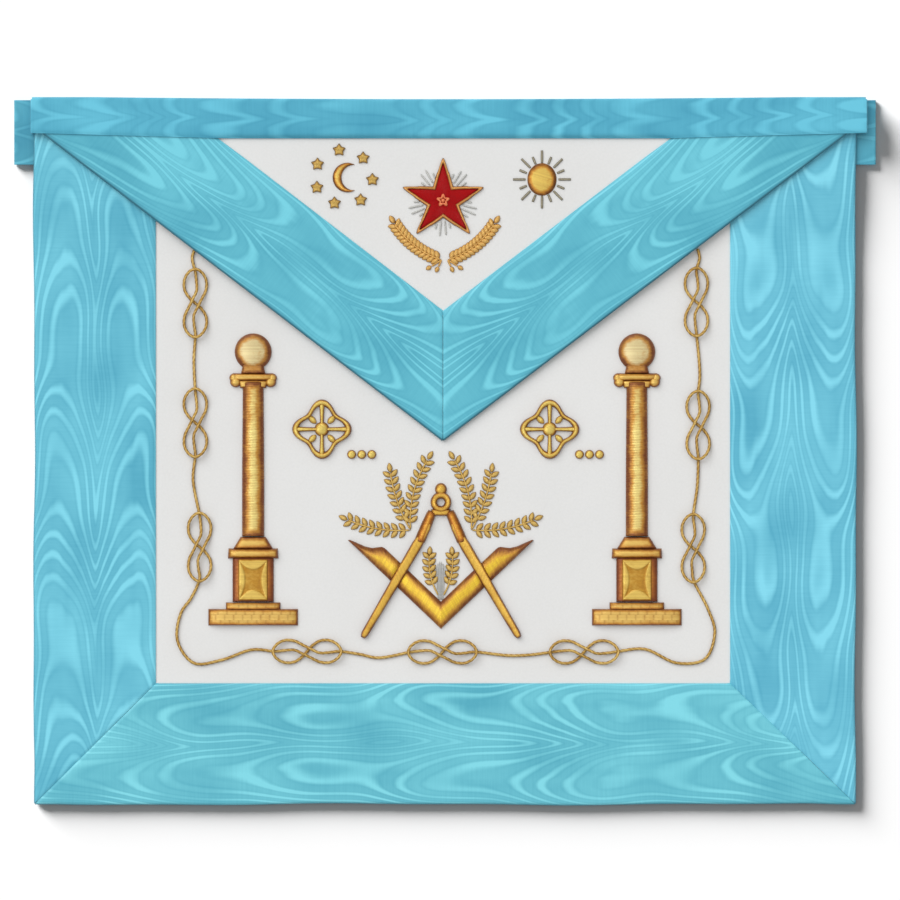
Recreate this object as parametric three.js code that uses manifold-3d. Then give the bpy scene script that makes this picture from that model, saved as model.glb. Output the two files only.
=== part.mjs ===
// A ceremonial apron of white leather with watered-silk borders, a pointed flap and gold
// embroidery, lying flat on its back. Millimetres, +X to the right, +Y to the belt, +Z up.
// The origin is on the surface under the middle of the bounding box.
import * as THREE from 'three';
import { mergeVertices } from 'three/addons/utils/BufferGeometryUtils.js';
import Module from 'manifold-3d';

// Cloth and leather
const APRON_WIDTH = 400;
const APRON_HEIGHT = 344.2;
const RIBBON_THICKNESS = 1.0;
const PANEL_THICKNESS = 1.4;
const FLAP_THICKNESS = 1.2;
const PIECE_GAP = 0.3;
const SIDE_BORDER_WIDTH = 60;
const BOTTOM_BORDER_WIDTH = 58.7;
const OPENING_SHIFT = -1;
const HEM_WIDTH = 25;
const DRAPE_LENGTH = 46;
const DRAPE_STEPS = 8;

// Waistband and belt
const WAISTBAND_WIDTH = 20;
const WAISTBAND_END_WIDTH = 17.4;
const WAISTBAND_LENGTH = 406.4;
const WAISTBAND_SHIFT = 1.9;
const WAISTBAND_FLAT_LENGTH = 220;
const BELT_WIDTH = 31.4;
const BELT_FOLDED_LENGTH = 420.4;
const BELT_RUN_GAP = 0.5;
const BELT_TOP_STEP = 1.2;
const CLASP_LENGTH = 30;
const CLASP_WIDTH = 28;

// Flap
const FLAP_WIDTH = 391.4;
const FLAP_CORNER_DROP = 17.6;
const FLAP_DROP = 167.3;
const FLAP_RIBBON_WIDTH = 50.2;
const FLAP_TIP_SHIFT = -1;

// Rope couched onto the panel
const ROPE_DIAMETER = 1.5;
const ROPE_SIDES = 5;
const KNOT_LENGTH = 34;
const KNOT_WIDTH = 12;
const KNOT_LIFT = 2.0;

// Pillars
const PILLAR_INSET = 46.5;
const PILLAR_RAISE = 28.3;
const PILLAR_RELIEF = 3.4;
const PLINTH_WIDTH = 43.7;
const PLINTH_HEIGHT = 8;
const STEP_WIDTH = 26.6;
const STEP_HEIGHT = 3.2;
const DIE_WIDTH = 20.1;
const DIE_HEIGHT = 21.4;
const DIE_PANEL_WIDTH = 13.9;
const COLLAR_WIDTH = 24.6;
const COLLAR_HEIGHT = 4.9;
const FLARE_WIDTH = 19.7;
const FLARE_HEIGHT = 5.6;
const SHAFT_WIDTH = 10.8;
const SHAFT_LENGTH = 76;
const CAPITAL_WIDTH = 22.6;
const CAPITAL_HEIGHT = 3.6;
const VOLUTE_DIAMETER = 5.6;
const NECK_WIDTH = 10.9;
const NECK_HEIGHT = 3.2;
const GLOBE_DIAMETER = 18;

// Square and compasses
const EMBLEM_X = -2;
const SQUARE_RAISE = 26.6;
const SQUARE_HALF_SPAN = 45.2;
const SQUARE_RISE = 43.1;
const SQUARE_ARM_WIDTH = 9.6;
const SQUARE_RELIEF = 2.6;
const COMPASS_HEAD_RAISE = 61.7;
const COMPASS_HEAD_DIAMETER = 10.4;
const COMPASS_EYE_DIAMETER = 3.8;
const COMPASS_KNOB_DIAMETER = 6;
const COMPASS_REACH = 66;
const COMPASS_HALF_SPAN = 38.2;
const COMPASS_ARM_WIDTH = 3.8;
const COMPASS_TIP_WIDTH = 3.0;
const COMPASS_THIGH_WIDTH = 4.8;
const COMPASS_THIGH_LENGTH = 17;
const COMPASS_RELIEF = 2.8;

// Leafy branches
const BRANCH_HALF_SPAN = 45.5;
const BRANCH_DROP = 13.5;
const INNER_BRANCH_LENGTH = 19.6;
const LEAF_LENGTH = 4.4;
const LEAF_WIDTH = 2.3;
const LEAF_RELIEF = 1.2;
const STEM_WIDTH = 0.9;

// Ornaments beside the square
const ORNAMENT_WIDTH = 29;
const ORNAMENT_CORD = 3.2;
const ORNAMENT_RELIEF = 2.4;
const ORNAMENT_RAISE = 123.9;
const ORNAMENT_LEFT_X = -60;
const ORNAMENT_RIGHT_X = 51;
const BEAD_DIAMETER = 4.4;
const BEAD_PITCH = 4.9;

// Embroidery of the flap
const STAR_DIAMETER = 41.4;
const STAR_NOTCH = 0.4;
const STAR_RIM = 1.9;
const STAR_X = -0.9;
const STAR_DROP = 50.3;
const STAR_RELIEF = 1.3;
const ROSETTE_DIAMETER = 7.4;
const SMALL_STAR_DIAMETER = 6.8;
const MOON_DIAMETER = 14.4;
const MOON_X = -47.5;
const MOON_DROP = 39.1;
const SMALL_STAR_SPREAD = 15;
const SUN_DIAMETER = 15.4;
const SUN_X = 47.2;
const SUN_DROP = 40;
const SUN_RAY_REACH = 14.3;
const SUN_RAY_COUNT = 16;
const WREATH_HALF_SPAN = 26.6;
const WREATH_HEIGHT = 20;
const WREATH_X = -0.2;
const WREATH_DROP = 79.2;
const WREATH_PAIRS = 9;

const TURQUOISE = 0x68bed0;
const LEATHER = 0xe9eaeb;
const GOLD = 0xd8a53a;
const PALE_GOLD = 0xd7b871;
const RED = 0xad2118;
const BRASS = 0xb99a55;

// Places worked out from the sizes above
const halfWidth = APRON_WIDTH / 2;
const top = APRON_HEIGHT / 2;
const foot = -top;
const wrap = RIBBON_THICKNESS + PIECE_GAP;
const sheetTop = top - wrap;
const panelLevel = wrap;
const panelTop = panelLevel + PANEL_THICKNESS;
const borderLevel = panelTop + PIECE_GAP;
const borderTop = borderLevel + RIBBON_THICKNESS;
const beltThickness = 2 * RIBBON_THICKNESS + BELT_RUN_GAP;
const beltRise = beltThickness + PIECE_GAP - panelLevel;
const beltTopY = top - BELT_TOP_STEP;
const beltFootY = beltTopY - BELT_WIDTH;
const riseEnd = beltFootY - 2 * RIBBON_THICKNESS;
const riseStart = riseEnd - DRAPE_LENGTH;
const stitchLevel = panelTop + PIECE_GAP;
const openingHalf = halfWidth - SIDE_BORDER_WIDTH;
const openingLeft = OPENING_SHIFT - openingHalf;
const openingRight = OPENING_SHIFT + openingHalf;
const openingFoot = foot + BOTTOM_BORDER_WIDTH;
const openingHeight = sheetTop - openingFoot;
const squareFoot = openingFoot + SQUARE_RAISE;
const compassHead = squareFoot + COMPASS_HEAD_RAISE;
const flapHalf = FLAP_WIDTH / 2;
const flapHinge = top - WAISTBAND_WIDTH;
const flapCorner = top - FLAP_CORNER_DROP;
const flapTip = top - FLAP_DROP;
const flapTipLevel = panelTop + PIECE_GAP;
const flapSlope = (borderTop + beltRise + PIECE_GAP - flapTipLevel) / (riseEnd - flapTip);
const flapHingeLevel = flapTipLevel + flapSlope * (flapHinge - flapTip);
const flapTop = FLAP_THICKNESS;
const flapRibbonLevel = flapTop + PIECE_GAP;
const flapRibbonTop = flapRibbonLevel + RIBBON_THICKNESS;
const waistbandLevel = flapHingeLevel + flapRibbonTop + PIECE_GAP;
const waistbandTop = waistbandLevel + RIBBON_THICKNESS;
const overBelt = beltThickness + PIECE_GAP;

const wasm = await Module();
wasm.setup();

// Solids and meshes

function toSolid(geometry) {
  const bare = geometry.clone();
  bare.deleteAttribute('normal');
  bare.deleteAttribute('uv');
  const merged = mergeVertices(bare, 1e-4);
  const triVerts = Uint32Array.from(merged.index.array);
  const vertProperties = Float32Array.from(merged.attributes.position.array);
  return new wasm.Manifold(new wasm.Mesh({ numProp: 3, vertProperties, triVerts }));
}

function toGeometry(solid) {
  const mesh = solid.getMesh();
  const geometry = new THREE.BufferGeometry();
  geometry.setAttribute('position', new THREE.BufferAttribute(mesh.vertProperties, 3));
  geometry.setIndex(new THREE.BufferAttribute(mesh.triVerts, 1));
  return geometry;
}

function fuse(geometries) {
  const [first, ...rest] = geometries.map(toSolid);
  return toGeometry(rest.reduce((whole, piece) => whole.add(piece), first));
}

function intersect(first, second) {
  return toGeometry(toSolid(first).intersect(toSolid(second)));
}

function subtract(first, second) {
  return toGeometry(toSolid(first).subtract(toSolid(second)));
}

function block(width, height, depth, x, y, z) {
  return new THREE.BoxGeometry(width, height, depth).translate(x, y, z + depth / 2);
}

function polygon(points) {
  return new THREE.Shape(points.map(([x, y]) => new THREE.Vector2(x, y)));
}

function prism(shape, depth, level = 0) {
  const geometry = new THREE.ExtrudeGeometry(shape, { depth, bevelEnabled: false });
  return geometry.translate(0, 0, level);
}

// The upper half of a form, so that it sits flat on what carries it.
function upperHalf(geometry) {
  geometry.computeBoundingBox();
  const size = geometry.boundingBox.getSize(new THREE.Vector3());
  const middle = geometry.boundingBox.getCenter(new THREE.Vector3());
  const cutter = block(2 * size.x, 2 * size.y, 2 * size.z, middle.x, middle.y, 0);
  return intersect(geometry, cutter);
}

// A padded shape: flat below, with its upper edge rounded over in a number of steps.
function cushion(shape, height, edge, segments = 1) {
  const depth = 2 * (height - edge);
  const geometry = new THREE.ExtrudeGeometry(shape, {
    depth,
    bevelEnabled: true,
    bevelThickness: edge,
    bevelSize: edge,
    bevelOffset: -edge,
    bevelSegments: segments,
    curveSegments: 8,
  });
  return upperHalf(geometry.translate(0, 0, -depth / 2));
}

function dome(width, length, height, x = 0, y = 0, sides = 12) {
  const rings = 2 * Math.floor(sides / 4);
  const ball = new THREE.SphereGeometry(1, sides, rings);
  return upperHalf(ball.scale(width / 2, length / 2, height)).translate(x, y, 0);
}

// Draped sheets: a side profile drawn in Y and Z, swept along X and cut to the outline.

const restProfile = [[foot - wrap, 0]];
for (let step = 0; step <= DRAPE_STEPS; step += 1) {
  const share = step / DRAPE_STEPS;
  const rise = beltRise * THREE.MathUtils.smoothstep(share, 0, 1);
  restProfile.push([riseStart + share * DRAPE_LENGTH, rise]);
}
restProfile.push([top + wrap, beltRise]);

const flapReach = flapTip - wrap;
const flapProfile = [
  [flapReach, flapHingeLevel - flapSlope * (flapHinge - flapReach)],
  [flapHinge, flapHingeLevel],
  [top + wrap, flapHingeLevel],
];

function sheet(profile, outline, level, thickness) {
  const under = profile.map(([y, z]) => [y, z + level]);
  const over = profile.map(([y, z]) => [y, z + level + thickness]).reverse();
  const side = prism(polygon([...under, ...over]), 2 * BELT_FOLDED_LENGTH, -BELT_FOLDED_LENGTH);
  const across = new THREE.Vector3(1, 0, 0);
  const along = new THREE.Vector3(0, 1, 0);
  const up = new THREE.Vector3(0, 0, 1);
  side.applyMatrix4(new THREE.Matrix4().makeBasis(along, up, across));
  const cut = prism(polygon(outline), 4 * waistbandTop, -waistbandTop);
  return intersect(side, cut);
}

function riseAt(y) {
  const share = THREE.MathUtils.clamp((y - riseStart) / DRAPE_LENGTH, 0, 1);
  return beltRise * THREE.MathUtils.smoothstep(share, 0, 1);
}

// The scene graph

const apron = new THREE.Group();
apron.name = 'apron';

function addPiece(name, geometry, colour, parent = apron, roughness = 0.6, metalness = 0) {
  const material = new THREE.MeshStandardMaterial({ color: colour, roughness, metalness });
  const mesh = new THREE.Mesh(geometry, material);
  mesh.name = name;
  parent.add(mesh);
  return mesh;
}

function addGold(name, geometry, parent = apron, colour = GOLD) {
  return addPiece(name, geometry, colour, parent, 0.4, 0.5);
}

// Leather panel
function makePanel() {
  const edge = halfWidth - wrap;
  const outline = [
    [-edge, foot + wrap],
    [edge, foot + wrap],
    [edge, sheetTop],
    [-edge, sheetTop],
  ];
  return sheet(restProfile, outline, panelLevel, PANEL_THICKNESS);
}

addPiece('panel', makePanel(), LEATHER);

// Silk borders: a face on the panel, a wall round its edge and a hem turned under it.
// Both mitres run from the corner of the apron to the corner of the opening.

const mitreSeam = 0.75 * PIECE_GAP;

// A corner of a side border on its mitre, at a distance in from the outer edge.
function mitreAtInset(side, inset) {
  const inner = side < 0 ? openingLeft : openingRight;
  const slope = BOTTOM_BORDER_WIDTH / Math.abs(side * halfWidth - inner);
  return [side * (halfWidth - inset), foot + slope * inset + mitreSeam];
}

// A corner of the bottom border on its mitre, at a height above the foot.
function mitreAtHeight(side, height) {
  const inner = side < 0 ? openingLeft : openingRight;
  const slope = BOTTOM_BORDER_WIDTH / Math.abs(side * halfWidth - inner);
  return [side * (halfWidth - (height + mitreSeam) / slope), foot + height];
}

function makeSideBorder(side) {
  const outer = side * halfWidth;
  const faceWidth = Math.abs(outer - (side < 0 ? openingLeft : openingRight));
  const hemTop = beltFootY - PIECE_GAP;
  const strip = (width, high) => [
    mitreAtInset(side, 0),
    mitreAtInset(side, width),
    [outer - side * width, high],
    [outer, high],
  ];
  return fuse([
    sheet(restProfile, strip(faceWidth, sheetTop), borderLevel, RIBBON_THICKNESS),
    sheet(restProfile, strip(RIBBON_THICKNESS, sheetTop), panelLevel, borderTop - panelLevel),
    sheet(restProfile, strip(RIBBON_THICKNESS, hemTop), 0, borderTop),
    sheet(restProfile, strip(HEM_WIDTH, hemTop), 0, RIBBON_THICKNESS),
  ]);
}

function makeBottomBorder() {
  const band = (height) => polygon([
    mitreAtHeight(-1, 0),
    mitreAtHeight(1, 0),
    mitreAtHeight(1, height),
    mitreAtHeight(-1, height),
  ]);
  return fuse([
    prism(band(BOTTOM_BORDER_WIDTH), RIBBON_THICKNESS, borderLevel),
    prism(band(RIBBON_THICKNESS), borderTop),
    prism(band(HEM_WIDTH), RIBBON_THICKNESS),
  ]);
}

addPiece('border_left', makeSideBorder(-1), TURQUOISE);
addPiece('border_right', makeSideBorder(1), TURQUOISE);
addPiece('border_bottom', makeBottomBorder(), TURQUOISE);

// Flap: a leather sheet under two ribbons that meet in a seam at its tip.

const tip = new THREE.Vector2(FLAP_TIP_SHIFT, flapTip);

// The line at a distance inside the flap's slanting edge, as Y for X and as X for Y.
function flapEdge(side, inset) {
  const corner = new THREE.Vector2(side * flapHalf, flapCorner);
  const run = corner.clone().sub(tip);
  const slope = run.y / run.x;
  const rise = (inset * run.length()) / Math.abs(run.x);
  return {
    yAt: (x) => tip.y + rise + slope * (x - tip.x),
    xAt: (y) => tip.x + (y - tip.y - rise) / slope,
  };
}

function makeFlap() {
  const corner = (side) => {
    const x = side * (flapHalf - wrap);
    return [x, flapEdge(side, wrap).yAt(x)];
  };
  const outline = [
    [tip.x, flapEdge(1, wrap).yAt(tip.x)],
    corner(1),
    [flapHalf - wrap, sheetTop],
    [wrap - flapHalf, sheetTop],
    corner(-1),
  ];
  return sheet(flapProfile, outline, 0, FLAP_THICKNESS);
}

function makeFlapBorder(side) {
  const seam = tip.x + (side * PIECE_GAP) / 2;
  const outer = side * flapHalf;
  const outerEdge = flapEdge(side, 0);
  const lipEdge = flapEdge(side, RIBBON_THICKNESS);
  const innerEdge = flapEdge(side, FLAP_RIBBON_WIDTH);
  const face = [
    [seam, outerEdge.yAt(seam)],
    [outer, outerEdge.yAt(outer)],
    [outer, sheetTop],
    [innerEdge.xAt(sheetTop), sheetTop],
    [seam, innerEdge.yAt(seam)],
  ];
  const lip = [
    [seam, outerEdge.yAt(seam)],
    [outer, outerEdge.yAt(outer)],
    [outer, lipEdge.yAt(outer)],
    [seam, lipEdge.yAt(seam)],
  ];
  return fuse([
    sheet(flapProfile, face, flapRibbonLevel, RIBBON_THICKNESS),
    sheet(flapProfile, lip, 0, flapRibbonTop),
  ]);
}

addPiece('flap', makeFlap(), LEATHER);
addPiece('flap_border_left', makeFlapBorder(-1), TURQUOISE);
addPiece('flap_border_right', makeFlapBorder(1), TURQUOISE);

// Waistband: a ribbon over the top edge, closed at both ends, above the belt.

function makeWaistband() {
  const left = WAISTBAND_SHIFT - WAISTBAND_LENGTH / 2;
  const right = WAISTBAND_SHIFT + WAISTBAND_LENGTH / 2;
  const flat = WAISTBAND_FLAT_LENGTH / 2;
  const endFoot = top - WAISTBAND_END_WIDTH;
  const face = [
    [left, endFoot],
    [-flat, flapHinge],
    [flat, flapHinge],
    [right, endFoot],
    [right, top],
    [left, top],
  ];
  const wallHeight = waistbandTop - overBelt;
  const endWall = (x) => block(
    RIBBON_THICKNESS, WAISTBAND_END_WIDTH, wallHeight, x, top - WAISTBAND_END_WIDTH / 2, overBelt,
  );
  const topWall = block(
    WAISTBAND_LENGTH, RIBBON_THICKNESS, wallHeight,
    WAISTBAND_SHIFT, top - RIBBON_THICKNESS / 2, overBelt,
  );
  return fuse([
    prism(polygon(face), RIBBON_THICKNESS, waistbandLevel),
    topWall,
    endWall(left + RIBBON_THICKNESS / 2),
    endWall(right - RIBBON_THICKNESS / 2),
  ]);
}

addPiece('waistband', makeWaistband(), TURQUOISE);

// Belt: a flat ribbon loop behind the panel, closed by a plain clasp in its rear run.

function racetrack(length, height, middle) {
  const radius = height / 2;
  const straight = length / 2 - radius;
  const shape = new THREE.Path();
  shape.absarc(straight, middle, radius, -Math.PI / 2, Math.PI / 2, false);
  shape.absarc(-straight, middle, radius, Math.PI / 2, (3 * Math.PI) / 2, false);
  return shape;
}

function makeBelt() {
  const middle = beltThickness / 2;
  const outer = racetrack(BELT_FOLDED_LENGTH, beltThickness, middle);
  const inner = racetrack(BELT_FOLDED_LENGTH - 2 * RIBBON_THICKNESS, BELT_RUN_GAP, middle);
  const section = new THREE.Shape(outer.getPoints(6));
  section.holes.push(new THREE.Path(inner.getPoints(6)));
  const loop = prism(section, BELT_WIDTH);
  loop.rotateX(Math.PI / 2).translate(0, beltTopY, 0);
  const notchLength = CLASP_LENGTH + 2 * PIECE_GAP;
  const notchDepth = RIBBON_THICKNESS + BELT_RUN_GAP / 2;
  const notch = block(
    notchLength, 2 * BELT_WIDTH, 2 * notchDepth, 0, beltTopY - BELT_WIDTH / 2, -notchDepth,
  );
  return subtract(loop, notch);
}

function makeClasp() {
  const corner = RIBBON_THICKNESS;
  const halfLength = CLASP_LENGTH / 2;
  const halfClasp = CLASP_WIDTH / 2;
  const outline = [
    [corner - halfLength, -halfClasp],
    [halfLength - corner, -halfClasp],
    [halfLength, corner - halfClasp],
    [halfLength, halfClasp - corner],
    [halfLength - corner, halfClasp],
    [corner - halfLength, halfClasp],
    [-halfLength, halfClasp - corner],
    [-halfLength, corner - halfClasp],
  ];
  return prism(polygon(outline), RIBBON_THICKNESS).translate(0, beltTopY - BELT_WIDTH / 2, 0);
}

addPiece('belt', makeBelt(), TURQUOISE);
addPiece('belt_clasp', makeClasp(), BRASS, apron, 0.35, 0.9);

// Rope: one cord that runs down the left side, along the foot and up the right side,
// with a love knot in each place. Half a knot is tabled, as shares of its length and
// width, and the other half is the same route turned half round.

const HALF_KNOT = [
  { along: -0.43, across: 0.0, lift: 0 },
  { along: -0.3, across: 0.05, lift: 0.3 },
  { along: -0.17, across: 0.06, lift: 0.9 },
  { along: -0.06, across: -0.1, lift: 1 },
  { along: 0.06, across: -0.29, lift: 0.6 },
  { along: 0.18, across: -0.47, lift: 0 },
  { along: 0.32, across: -0.48, lift: 0.4 },
  { along: 0.43, across: -0.27, lift: 0.9 },
  { along: 0.47, across: 0.0, lift: 1 },
  { along: 0.43, across: 0.27, lift: 0.9 },
  { along: 0.32, across: 0.48, lift: 0.4 },
  { along: 0.18, across: 0.47, lift: 0 },
  { along: 0.07, across: 0.25, lift: 0 },
];

const DOWN = -Math.PI / 2;
const UP = Math.PI / 2;

// The rope's places, chosen by hand, as shares of the opening's half width and of its
// height: a knot with its direction, or a bare point.
const ROPE_ROUTE = [
  { across: -0.87, up: 0.746 },
  { across: -0.88, up: 0.73 },
  { across: -0.869, up: 0.652, turn: DOWN },
  { across: -0.874, up: 0.555 },
  { across: -0.869, up: 0.447, turn: DOWN },
  { across: -0.877, up: 0.35 },
  { across: -0.854, up: 0.234, turn: DOWN },
  { across: -0.883, up: 0.147 },
  { across: -0.919, up: 0.121 },
  { across: -0.931, up: 0.073 },
  { across: -0.874, up: 0.035 },
  { across: -0.779, up: 0.04 },
  { across: -0.67, up: 0.058 },
  { across: -0.48, up: 0.055, turn: 0 },
  { across: -0.296, up: 0.05 },
  { across: -0.233, up: 0.044 },
  { across: -0.009, up: 0.054, turn: 0 },
  { across: 0.219, up: 0.048 },
  { across: 0.296, up: 0.049 },
  { across: 0.484, up: 0.054, turn: 0 },
  { across: 0.694, up: 0.059 },
  { across: 0.808, up: 0.035 },
  { across: 0.905, up: 0.042 },
  { across: 0.939, up: 0.088 },
  { across: 0.915, up: 0.128 },
  { across: 0.864, up: 0.232, turn: UP },
  { across: 0.878, up: 0.338 },
  { across: 0.881, up: 0.443, turn: UP },
  { across: 0.887, up: 0.528 },
  { across: 0.875, up: 0.654, turn: UP },
  { across: 0.886, up: 0.73 },
  { across: 0.879, up: 0.746 },
];

function knotPoints({ x, y, turn }) {
  const whole = [
    ...HALF_KNOT,
    { along: 0, across: 0, lift: 0 },
    ...HALF_KNOT.map(({ along, across, lift }) => (
      { along: -along, across: -across, lift }
    )).reverse(),
  ];
  const cos = Math.cos(turn);
  const sin = Math.sin(turn);
  return whole.map(({ along, across, lift }) => {
    const forward = along * KNOT_LENGTH;
    const sideways = across * KNOT_WIDTH;
    return {
      x: x + forward * cos - sideways * sin,
      y: y + forward * sin + sideways * cos,
      lift,
    };
  });
}

// A smooth curve whose stations are its own points, closer where the route bends.
class StationCurve extends THREE.CatmullRomCurve3 {
  getUtoTmapping(share) {
    return share;
  }
}

function ring(radius, sides) {
  const shape = new THREE.Shape();
  for (let side = 0; side < sides; side += 1) {
    const angle = (2 * Math.PI * side) / sides;
    const point = [radius * Math.cos(angle), radius * Math.sin(angle)];
    if (side === 0) shape.moveTo(...point);
    else shape.lineTo(...point);
  }
  return shape;
}

function makeRope() {
  const flat = ROPE_ROUTE.flatMap(({ across, up, turn }) => {
    const place = { x: across * openingHalf, y: openingFoot + up * openingHeight };
    return turn === undefined ? [{ ...place, lift: 0 }] : knotPoints({ ...place, turn });
  });
  const radius = ROPE_DIAMETER / 2;
  const points = flat.map(({ x, y, lift }) => (
    new THREE.Vector3(x, y, stitchLevel + radius + riseAt(y) + lift * KNOT_LIFT)
  ));
  const extrudePath = new StationCurve(points);
  const steps = points.length - 1;
  return new THREE.ExtrudeGeometry(ring(radius, ROPE_SIDES), { steps, extrudePath });
}

addGold('rope', makeRope(), apron, PALE_GOLD);

// Pillars, padded: heights add up from the foot of the plinth.

const stepFoot = PLINTH_HEIGHT;
const dieFoot = stepFoot + STEP_HEIGHT;
const collarFoot = dieFoot + DIE_HEIGHT;
const flareFoot = collarFoot + COLLAR_HEIGHT;
const shaftFoot = flareFoot + FLARE_HEIGHT;
const capitalFoot = shaftFoot + SHAFT_LENGTH;
const neckFoot = capitalFoot + CAPITAL_HEIGHT;
const globeMiddle = neckFoot + NECK_HEIGHT + 0.41 * GLOBE_DIAMETER;

function slab(width, low, high, topWidth = width) {
  return polygon([
    [-width / 2, low],
    [width / 2, low],
    [topWidth / 2, high],
    [-topWidth / 2, high],
  ]);
}

function makePlinth() {
  const edge = PILLAR_RELIEF / 6;
  return fuse([
    cushion(slab(PLINTH_WIDTH, 0, PLINTH_HEIGHT), 0.8 * PILLAR_RELIEF, edge),
    cushion(slab(STEP_WIDTH, stepFoot - edge, dieFoot), 0.7 * PILLAR_RELIEF, edge),
  ]);
}

function makePedestal() {
  const edge = PILLAR_RELIEF / 6;
  const low = dieFoot + PIECE_GAP;
  const panelInset = (DIE_WIDTH - DIE_PANEL_WIDTH) / 2;
  const bulge = 0.28 * PILLAR_RELIEF;
  const panel = slab(DIE_PANEL_WIDTH, low + panelInset / 2, collarFoot - panelInset / 2);
  return fuse([
    cushion(slab(DIE_WIDTH, low, collarFoot + edge), 0.7 * PILLAR_RELIEF, edge),
    cushion(slab(COLLAR_WIDTH, collarFoot, flareFoot), PILLAR_RELIEF, 2 * edge, 2),
    cushion(slab(FLARE_WIDTH, flareFoot - edge, shaftFoot, SHAFT_WIDTH), 0.8 * PILLAR_RELIEF, edge),
    cushion(panel, 0.7 * PILLAR_RELIEF + bulge, 2 * edge),
  ]);
}

function makeShaft() {
  const radius = SHAFT_WIDTH / 2;
  const low = shaftFoot + PIECE_GAP;
  const high = capitalFoot - PIECE_GAP;
  const profile = [
    [0, low],
    [0.97 * radius, low],
    [radius, THREE.MathUtils.lerp(low, high, 0.05)],
    [radius, THREE.MathUtils.lerp(low, high, 0.3)],
    [0.95 * radius, high],
    [0, high],
  ].map(([r, y]) => new THREE.Vector2(r, y));
  const lathe = new THREE.LatheGeometry(profile, 16);
  return upperHalf(lathe.scale(1, 1, PILLAR_RELIEF / radius));
}

function makeCapital() {
  const edge = PILLAR_RELIEF / 4;
  const reach = (CAPITAL_WIDTH - VOLUTE_DIAMETER) / 2;
  const pieces = [cushion(slab(2 * reach, capitalFoot, neckFoot), 0.85 * PILLAR_RELIEF, edge)];
  for (const side of [-1, 1]) {
    const shoulder = slab(0.7 * VOLUTE_DIAMETER, capitalFoot, neckFoot, 0.5 * VOLUTE_DIAMETER);
    pieces.push(cushion(shoulder, 0.8 * PILLAR_RELIEF, edge).translate(side * reach, 0, 0));
    pieces.push(dome(
      VOLUTE_DIAMETER, VOLUTE_DIAMETER, 0.9 * PILLAR_RELIEF,
      side * reach, neckFoot - 0.8 * VOLUTE_DIAMETER, 10,
    ));
  }
  return fuse(pieces);
}

function makeGlobe() {
  const neck = slab(NECK_WIDTH, neckFoot + PIECE_GAP, globeMiddle, 0.8 * NECK_WIDTH);
  return fuse([
    dome(GLOBE_DIAMETER, GLOBE_DIAMETER, 1.25 * PILLAR_RELIEF, 0, globeMiddle, 16),
    cushion(neck, 0.7 * PILLAR_RELIEF, PILLAR_RELIEF / 5),
  ]);
}

function addPillar(side) {
  const pillar = new THREE.Group();
  const suffix = side < 0 ? 'left' : 'right';
  pillar.position.set(side * (openingHalf - PILLAR_INSET), openingFoot + PILLAR_RAISE, stitchLevel);
  addGold(`pillar_${suffix}_plinth`, makePlinth(), pillar);
  addGold(`pillar_${suffix}_pedestal`, makePedestal(), pillar);
  addGold(`pillar_${suffix}_shaft`, makeShaft(), pillar);
  addGold(`pillar_${suffix}_capital`, makeCapital(), pillar);
  addGold(`pillar_${suffix}_globe`, makeGlobe(), pillar);
  apron.add(pillar);
}

addPillar(-1);
addPillar(1);

// Square and compasses: the legs pass over the square in a lap, half cut from each.

const emblem = new THREE.Group();
emblem.position.set(EMBLEM_X, 0, stitchLevel);
apron.add(emblem);

const lapLevel = SQUARE_RELIEF / 2;

// The square's outline, widened along its arms by a clearance.
function squareOutline(clearance = 0) {
  const stretch = Math.hypot(SQUARE_HALF_SPAN, SQUARE_RISE) / SQUARE_HALF_SPAN;
  const slope = SQUARE_RISE / SQUARE_HALF_SPAN;
  const outerFoot = squareFoot - stretch * clearance;
  const innerFoot = squareFoot + stretch * (SQUARE_ARM_WIDTH + clearance);
  const shoulder = 0.61 * SQUARE_HALF_SPAN;
  const dip = 0.79 * SQUARE_HALF_SPAN;
  const half = [
    [shoulder, innerFoot + slope * shoulder],
    [dip, innerFoot + slope * shoulder - 0.05 * SQUARE_RISE],
    [SQUARE_HALF_SPAN, outerFoot + SQUARE_RISE],
  ];
  const mirrored = half.map(([x, y]) => [-x, y]);
  return polygon([[0, outerFoot], ...half.reverse(), [0, innerFoot], ...mirrored]);
}

// A bar between two points with a pointed far end, widened all round by a clearance.
function barOutline(start, end, width, endWidth, clearance = 0) {
  const along = end.clone().sub(start).normalize();
  const across = new THREE.Vector2(-along.y, along.x);
  const place = (from, forward, sideways) => {
    const point = from.clone().addScaledVector(along, forward).addScaledVector(across, sideways);
    return [point.x, point.y];
  };
  const wide = width / 2 + clearance;
  const narrow = endWidth / 2 + clearance;
  return polygon([
    place(start, -clearance, -wide),
    place(end, -endWidth / 3, -narrow),
    place(end, clearance, 0),
    place(end, -endWidth / 3, narrow),
    place(start, -clearance, wide),
  ]);
}

// Each leg has a long flat arm and, inside its upper end, a padded thigh.
const headRadius = COMPASS_HEAD_DIAMETER / 2;

function armOutline(side, clearance) {
  const start = new THREE.Vector2(side * 1.5 * headRadius, compassHead - 1.25 * headRadius);
  const end = new THREE.Vector2(side * COMPASS_HALF_SPAN, compassHead - COMPASS_REACH);
  return barOutline(start, end, COMPASS_ARM_WIDTH, COMPASS_TIP_WIDTH, clearance);
}

function thighOutline(side, clearance) {
  const start = new THREE.Vector2(side * 0.85 * headRadius, compassHead - 0.85 * headRadius);
  const lean = 0.35;
  const end = start.clone().add(new THREE.Vector2(
    side * COMPASS_THIGH_LENGTH * Math.sin(lean), -COMPASS_THIGH_LENGTH * Math.cos(lean),
  ));
  return barOutline(start, end, COMPASS_THIGH_WIDTH, COMPASS_THIGH_WIDTH, clearance);
}

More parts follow.
